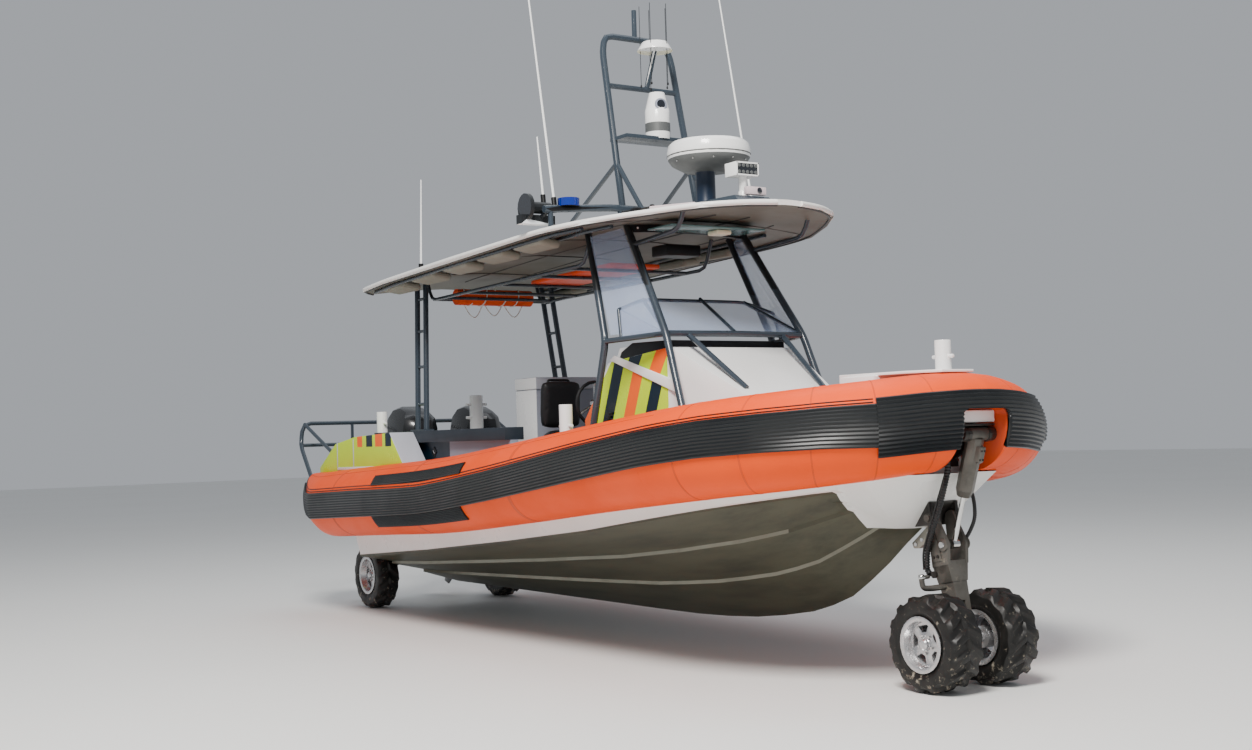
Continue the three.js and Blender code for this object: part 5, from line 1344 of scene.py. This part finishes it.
def dress_roof():
    edge = Work()
    for sign in BOTH:
        rim = [Vector((x, sign * half, z)) for x, half, z, _ in ROOF]
        run = bent(rim, 0.2, 3)
        edge.tube([p + Vector((0, -sign * 0.004, 0.020)) for p in run], 0.0185, "roof_white", sides=14)
        edge.tube([p + Vector((-0.012, -sign * 0.016, 0.000)) for p in run], 0.0085, "panel_line", sides=8)
    edge.done("roof_edge_seal", "boat")
    lines = Work()
    for across in (-0.55, -0.18, 0.18, 0.55):
        lines.tube(roof_spread(0.7, 4.55 - abs(across) * 0.5, 24, across, 0.001), 0.006, "panel_line",
                   sides=6)
    for x in (1.2, 2.2, 3.1, 4.15):
        lines.tube([roof_under(x, a) - Vector((0, 0, 0.001)) for a in spread(-0.9, 0.9, 15)], 0.006,
                   "panel_line", sides=6)
    for across in (-0.90, -0.66, 0.66, 0.90):
        lines.tube(roof_spread(0.45, 3.95, 24, across, 0.016), 0.014, "slate", sides=10)
    lines.done("lining_seams", "boat")
    # Stowage pouches between the side beams
    pouches = Work()
    for sign in BOTH:
        for x in (0.75, 1.35, 1.95, 2.55, 3.15):
            at = roof_under(x, 0.78 * sign) - Vector((0, 0, 0.030))
            pouches.box((-0.215, -0.095, -0.034), (0.215, 0.095, 0.030), "pouch", bevel=0.030, segments=4,
                        move=Matrix.Translation(at) @ Matrix.Rotation(math.radians(8 * sign), 4, "X"))
    pouches.done("stowage_pouches", "boat")
    header = Work()
    header.rings([[(3.86 + dx, y, 3.062 + 0.022 * (1 - (y / 0.55) ** 2) + dz)
                   for dx, dz in ((0, -0.05), (0.035, -0.05), (0.035, 0.012), (0, 0.012))]
                  for y in spread(-0.52, 0.52, 13)], "black")
    header.box((3.99, -0.42, 3.020), (4.30, 0.42, 3.034), "glow_panel", bevel=0.006)
    header.box((4.12, 0.02, 2.985), (4.25, 0.15, 3.020), "cream", bevel=0.012, segments=3)
    header.box((3.45, -0.02, 2.900), (3.66, 0.30, 2.985), "black", bevel=0.012, segments=3)
    header.done("roof_header", "boat")
    bolts = [((3.896, y, 3.045 + 0.02 * (1 - (y / 0.55) ** 2)), (1, 0, 0))
             for y in (-0.44, -0.26, 0.0, 0.26, 0.44)]
    fasteners("header_bolts", "boat", bolts, 0.008, 0.005, "white", sides=10)
    # Gas struts, lamp bars and clips on the roof's upper face, and the searchlight's box
    gear = Work()
    for y in (-0.66, -0.50, 0.66, 0.50):
        low = roof_under(4.06, y / 1.03) + Vector((0, 0, 0.062))
        high = roof_under(4.06 + 0.30, y / 0.95) + Vector((0, 0, 0.072))
        joint = low + (high - low) * 0.58
        gear.tube([low, joint], 0.016, "black", sides=14)
        gear.tube([joint, high], 0.007, "leg_dark", sides=10)
        for p in (low, high):
            gear.lathe([(0, -0.016), (0.015, -0.012), (0.018, 0), (0.015, 0.012), (0, 0.016)], p, (0, 1, 0),
                       "black", 14)
    for x, y in ((4.42, -0.80), (4.86, -0.50)):
        gear.box((x - 0.03, y - 0.03, 3.060), (x + 0.03, y + 0.03, 3.102), "black", bevel=0.008)
    lamp = [(4.52, -0.745), (4.80, -0.565), (4.815, -0.588), (4.535, -0.768)]
    for outline in (lamp, [(x, -y) for x, y in lamp[::-1]]):
        gear.prism([(x, y, 3.075) for x, y in outline], (0, 0, 0.026), "pinkish", bevel=0.006)
    gear.box((4.655, -0.045, 3.205), (4.700, 0.125, 3.262), "pinkish", bevel=0.008)
    gear.lathe([(0, 0), (0.020, 0), (0.022, 0.003), (0.015, 0.008), (0, 0.009)], (4.700, 0.06, 3.234),
               (1, 0, 0), "dark_lens", 20)
    gear.done("roof_gear", "boat")
    lamps = [((4.6505, y, z), (1, 0, 0)) for y in spread(-0.072, 0.072, 5) for z in (3.370, 3.415)]
    fasteners("searchlight_lamps", "searchlight", lamps, 0.0135, 0.004, "dome_grey",
              sides=14, taper=0.8)
    bars = Work()
    for y0, y1, z0, z1 in ((-0.0985, 0.0985, 3.430, 3.441), (-0.0985, 0.0985, 3.3445, 3.354),
                           (-0.0985, -0.0885, 3.3445, 3.441), (0.0885, 0.0985, 3.3445, 3.441)):
        bars.box((4.6495, y0, z0), (4.6535, y1, z1), "white", bevel=0.0015)
    bars.done("searchlight_frame", "searchlight")
    seam = Work()
    seam.lathe([(0.3045, -0.004), (0.3065, -0.003), (0.3065, 0.003), (0.3045, 0.004), (0.300, 0)],
               (*RADOME, 3.556), (0, 0, 1), "panel_line", 64)
    seam.done("radome_seam", "boat")
    ring = [((RADOME[0] + 0.285 * math.cos(a), 0.285 * math.sin(a), 3.505), (math.cos(a), math.sin(a), -0.8))
            for a in turns(12)]
    fasteners("radome_screws", "boat", ring, 0.006, 0.004, "steel", sides=10)


# ---------------------------------------------------------------- rescue roll on the after rack
ROLL = {"centre": Vector((0.86, 0, 2.830)), "half": 0.38, "radius": 0.071,
        "bands": (-0.30, -0.10, 0.10, 0.30)}


def dress_roll():
    centre, half = ROLL["centre"], ROLL["half"]
    roll = Work()
    rings = []
    for y in spread(-half, half, 77):
        end = min(1.0, (half - abs(y)) / 0.03)
        pinch = 1 - 0.07 * max(0, 1 - min(abs(abs(y) - b) for b in (0.30, 0.10)) / 0.03)
        r = ROLL["radius"] * pinch * math.sqrt(max(0.05, 1 - (1 - end) ** 2))
        ring = []
        for a in turns(48):
            wavy = r * (1 + 0.02 * math.sin(5 * a + 9 * y))
            ring.append(centre + Vector((wavy * math.cos(a), y, wavy * math.sin(a))))
        rings.append(ring)
    roll.rings(rings, "roll_cloth")
    for b in ROLL["bands"]:
        flat = []
        for a in (FULL_TURN * k / 40 for k in range(41)):
            p = centre + Vector((0.0695 * math.cos(a), b, 0.0695 * math.sin(a)))
            out = Vector((math.cos(a), 0, math.sin(a)))
            flat.append([p + out * 0.0025 + Vector((0, w, 0)) for w in (-0.011, 0.011)]
                        + [p - out * 0.001 + Vector((0, w, 0)) for w in (0.011, -0.011)])
        roll.rings(flat, "seam", capped=False)
    roll.done("rescue_roll_cloth", "boat", ["rescue_roll"], angle=60)
    ropes = Work()
    for start, phase in ((-0.33, 0.4), (-0.18, 2.2), (0.0, 1.0), (0.16, 3.0)):
        ropes.tube([centre + Vector((0.0745 * math.cos(a + phase), start + 0.018 * a,
                                     0.0745 * math.sin(a + phase)))
                    for a in (math.pi * 1.6 * k / 26 for k in range(27))], 0.0055, "rope", sides=8)
    ropes.done("roll_lashing", "boat")
    # Grab lines hang in loops below the roll, both ends held under its bands
    for name, start, end, sag in (("starboard", -0.30, -0.11, 0.115), ("middle", -0.09, 0.09, 0.095),
                                  ("port", 0.11, 0.30, 0.105)):
        path = []
        for k in range(25):
            f = k / 24
            path.append(Vector((0.86 + 0.012 * math.sin(5 * f), start + (end - start) * f,
                                2.7635 - 4 * sag * f * (1 - f))))
        line = Work()
        line.tube(path, 0.0045, "rope", sides=10)
        piece = line.done("grab_line_" + name, "boat", angle=60)


# ---------------------------------------------------------------- helm seats
SEAT_Y = 0.35
PAD_GRID = (18, 16)


def pad_form(low, high, crown):
    """Upper and lower points of a crowned pad between two corners, its sides pulled in, in boat metres"""
    nx, ny = PAD_GRID
    size = Vector(high) - Vector(low)
    middle = (Vector(high) + Vector(low)) / 2
    top, bottom = [], []
    for i in range(nx + 1):
        for j in range(ny + 1):
            u, v = 2 * i / nx - 1, 2 * j / ny - 1
            square = Vector((u * (1 - 0.10 * v ** 4 * u * u), v * (1 - 0.10 * u ** 4 * v * v), 0))
            rise = crown * (1 - u ** 4) * (1 - v ** 4)
            at = middle + Vector((square.x * size.x / 2, square.y * size.y / 2, 0))
            edge = max(abs(u), abs(v)) ** 8
            top.append(at + Vector((0, 0, size.z / 2 * (1 - 0.35 * edge) + rise - crown)))
            bottom.append(at - Vector((0, 0, size.z / 2 * (1 - 0.35 * edge))))
    return top, bottom


def pad_mesh(low, high, crown, turn):
    nx, ny = PAD_GRID
    top, bottom = pad_form(low, high, crown)
    work = bmesh.new()
    upper = [work.verts.new(turn @ p) for p in top]
    under = [work.verts.new(turn @ p) for p in bottom]
    step = ny + 1
    for i in range(nx):
        for j in range(ny):
            a, b, c, d = i * step + j, (i + 1) * step + j, (i + 1) * step + j + 1, i * step + j + 1
            work.faces.new([upper[k] for k in (a, b, c, d)])
            work.faces.new([under[k] for k in (d, c, b, a)])
    border = [i * step for i in range(nx)] + [nx * step + j for j in range(ny)]
    border += [i * step + ny for i in range(nx, 0, -1)] + [j for j in range(ny, 0, -1)]
    for a, b in zip(border, border[1:] + border[:1]):
        work.faces.new([upper[b], upper[a], under[a], under[b]])
    bmesh.ops.recalc_face_normals(work, faces=work.faces)
    mesh = bpy.data.meshes.new("pad")
    work.to_mesh(mesh)
    work.free()
    return mesh


PAD = {"voxel": 0.008, "pressure": 4, "frames": 20, "rise": 0.006}


def swollen(piece, cap):
    """Cloth under pressure, its rise held to a cap, then applied"""
    remesh = piece.modifiers.new("even", "REMESH")
    remesh.mode = "VOXEL"
    remesh.voxel_size = PAD["voxel"]
    even = applied(piece)
    start = [v.co.copy() for v in even.vertices]
    cloth = piece.modifiers.new("cloth", "CLOTH")
    cloth.settings.use_pressure = True
    cloth.settings.uniform_pressure_force = PAD["pressure"]
    cloth.settings.effector_weights.gravity = 0
    for step in range(1, PAD["frames"] + 1):
        bpy.context.scene.frame_set(step)
    for vertex, before in zip(applied(piece).vertices, start):
        move = vertex.co - before
        if move.length > cap:
            vertex.co = before + move.normalized() * cap
    bpy.context.scene.frame_set(1)
    for polygon in piece.data.polygons:
        polygon.use_smooth = True
    round_off = piece.modifiers.new("round", "SUBSURF")
    round_off.levels = round_off.render_levels = 1
    applied(piece)


def pad(name, low, high, crown, turn):
    """A starboard pad, and its twin on the port seat"""
    piece = new_object(name, pad_mesh(low, high, crown, turn))
    swollen(piece, PAD["rise"])
    twin = new_object(name.replace("starboard", "port"), piece.data.copy())
    for part, move in ((piece, 0.0), (twin, 2 * SEAT_Y)):
        part.data.transform(Matrix.Translation((-ORIGIN_X, move, 0)))
        part.data.materials.clear()
        part.data.materials.append(FINISH["vinyl"])
        for polygon in part.data.polygons:
            polygon.material_index = 0
        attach(part, "boat")


def dress_seats():
    pad("seat_cushion_starboard", (2.540, -0.530, 1.480), (2.858, -0.170, 1.600), 0.022, Matrix.Identity(4))
    lean = Matrix.Translation((2.575, -SEAT_Y, 1.81)) @ Matrix.Rotation(math.radians(-86.5), 4, "Y")
    pad("seat_back_starboard", (-0.190, -0.180, -0.042), (0.190, 0.180, 0.042), 0.014, lean)
    for side, sign in SIDES.items():
        base = Work()
        y = SEAT_Y * sign
        base.box((2.580, y - 0.09, 0.981), (2.800, y + 0.09, 0.998), "slate_dark", bevel=0.004)
        base.rings([[(2.69 + w * cx, y + w * cy, z)
                     for cx, cy in ((-1, -0.62), (1, -0.62), (1, 0.62), (-1, 0.62))]
                    for z, w in ((0.998, 0.105), (1.06, 0.082), (1.34, 0.078), (1.44, 0.10))], "slate_dark")
        base.box((2.555, y - 0.165, 1.440), (2.835, y + 0.165, 1.478), "slate_dark", bevel=0.008)
        base.tube(bent([(2.556, y - 0.10, 1.95), (2.556, y - 0.10, 2.006), (2.556, y + 0.10, 2.006),
                        (2.556, y + 0.10, 1.95)], 0.04), 0.010, "black", sides=10)
        base.done("seat_pedestal_" + side, "boat", ["helm_seat_" + side])


# Nodes shown with their edges eased: name, finish, bevel; a name that ends in _ stands for both sides
PLAIN = [
    ("foredeck", "white", 0.008), ("tow_post", "white", 0), ("stern_frame", "slate", 0),
    ("after_posts_", "slate", 0),
    ("roof_rails", "slate", 0), ("windscreen", "clear", 0), ("side_glass_", "clear", 0),
    ("wing_pane_", "clear", 0), ("rescue_roll", "roll_cloth", 0), ("stretcher_board", "board", 0.010),
    ("transom_brackets", "slate_dark", 0.004),
    ("bow_hinge_bracket", "leg_dark", 0.002), ("bow_ram_bracket", "leg_dark", 0.003),
    ("bow_leg", "leg", 0.004),
    ("bow_foot", "leg", 0.003), ("bow_ram_barrel", "leg", 0.003), ("bow_ram_rod", "steel", 0),
    ("bow_rims", "alloy", 0.002), ("bow_tyre_", "tyre", 0.004), ("rear_leg_", "leg", 0.004),
    ("rear_rim_", "alloy", 0.002), ("rear_tyre_", "tyre", 0.004), ("outboard_swivel_", "slate_dark", 0.004),
    ("outboard_motor_", "motor", 0.008), ("propeller_", "slate_dark", 0),
]

make_camera()
make_studio()
make_collar()
make_strakes()
dress_console()
dress_quarters()
dress_bulwarks()
dress_locker()
dress_gear()
dress_hull()
dress_bow_leg()
dress_wheels()
dress_frame()
dress_roof()
dress_roll()
dress_seats()
for stem, key, bevel in PLAIN:
    for side in (SIDES if stem.endswith("_") else ("",)):
        softened(stem + side, key, bevel)
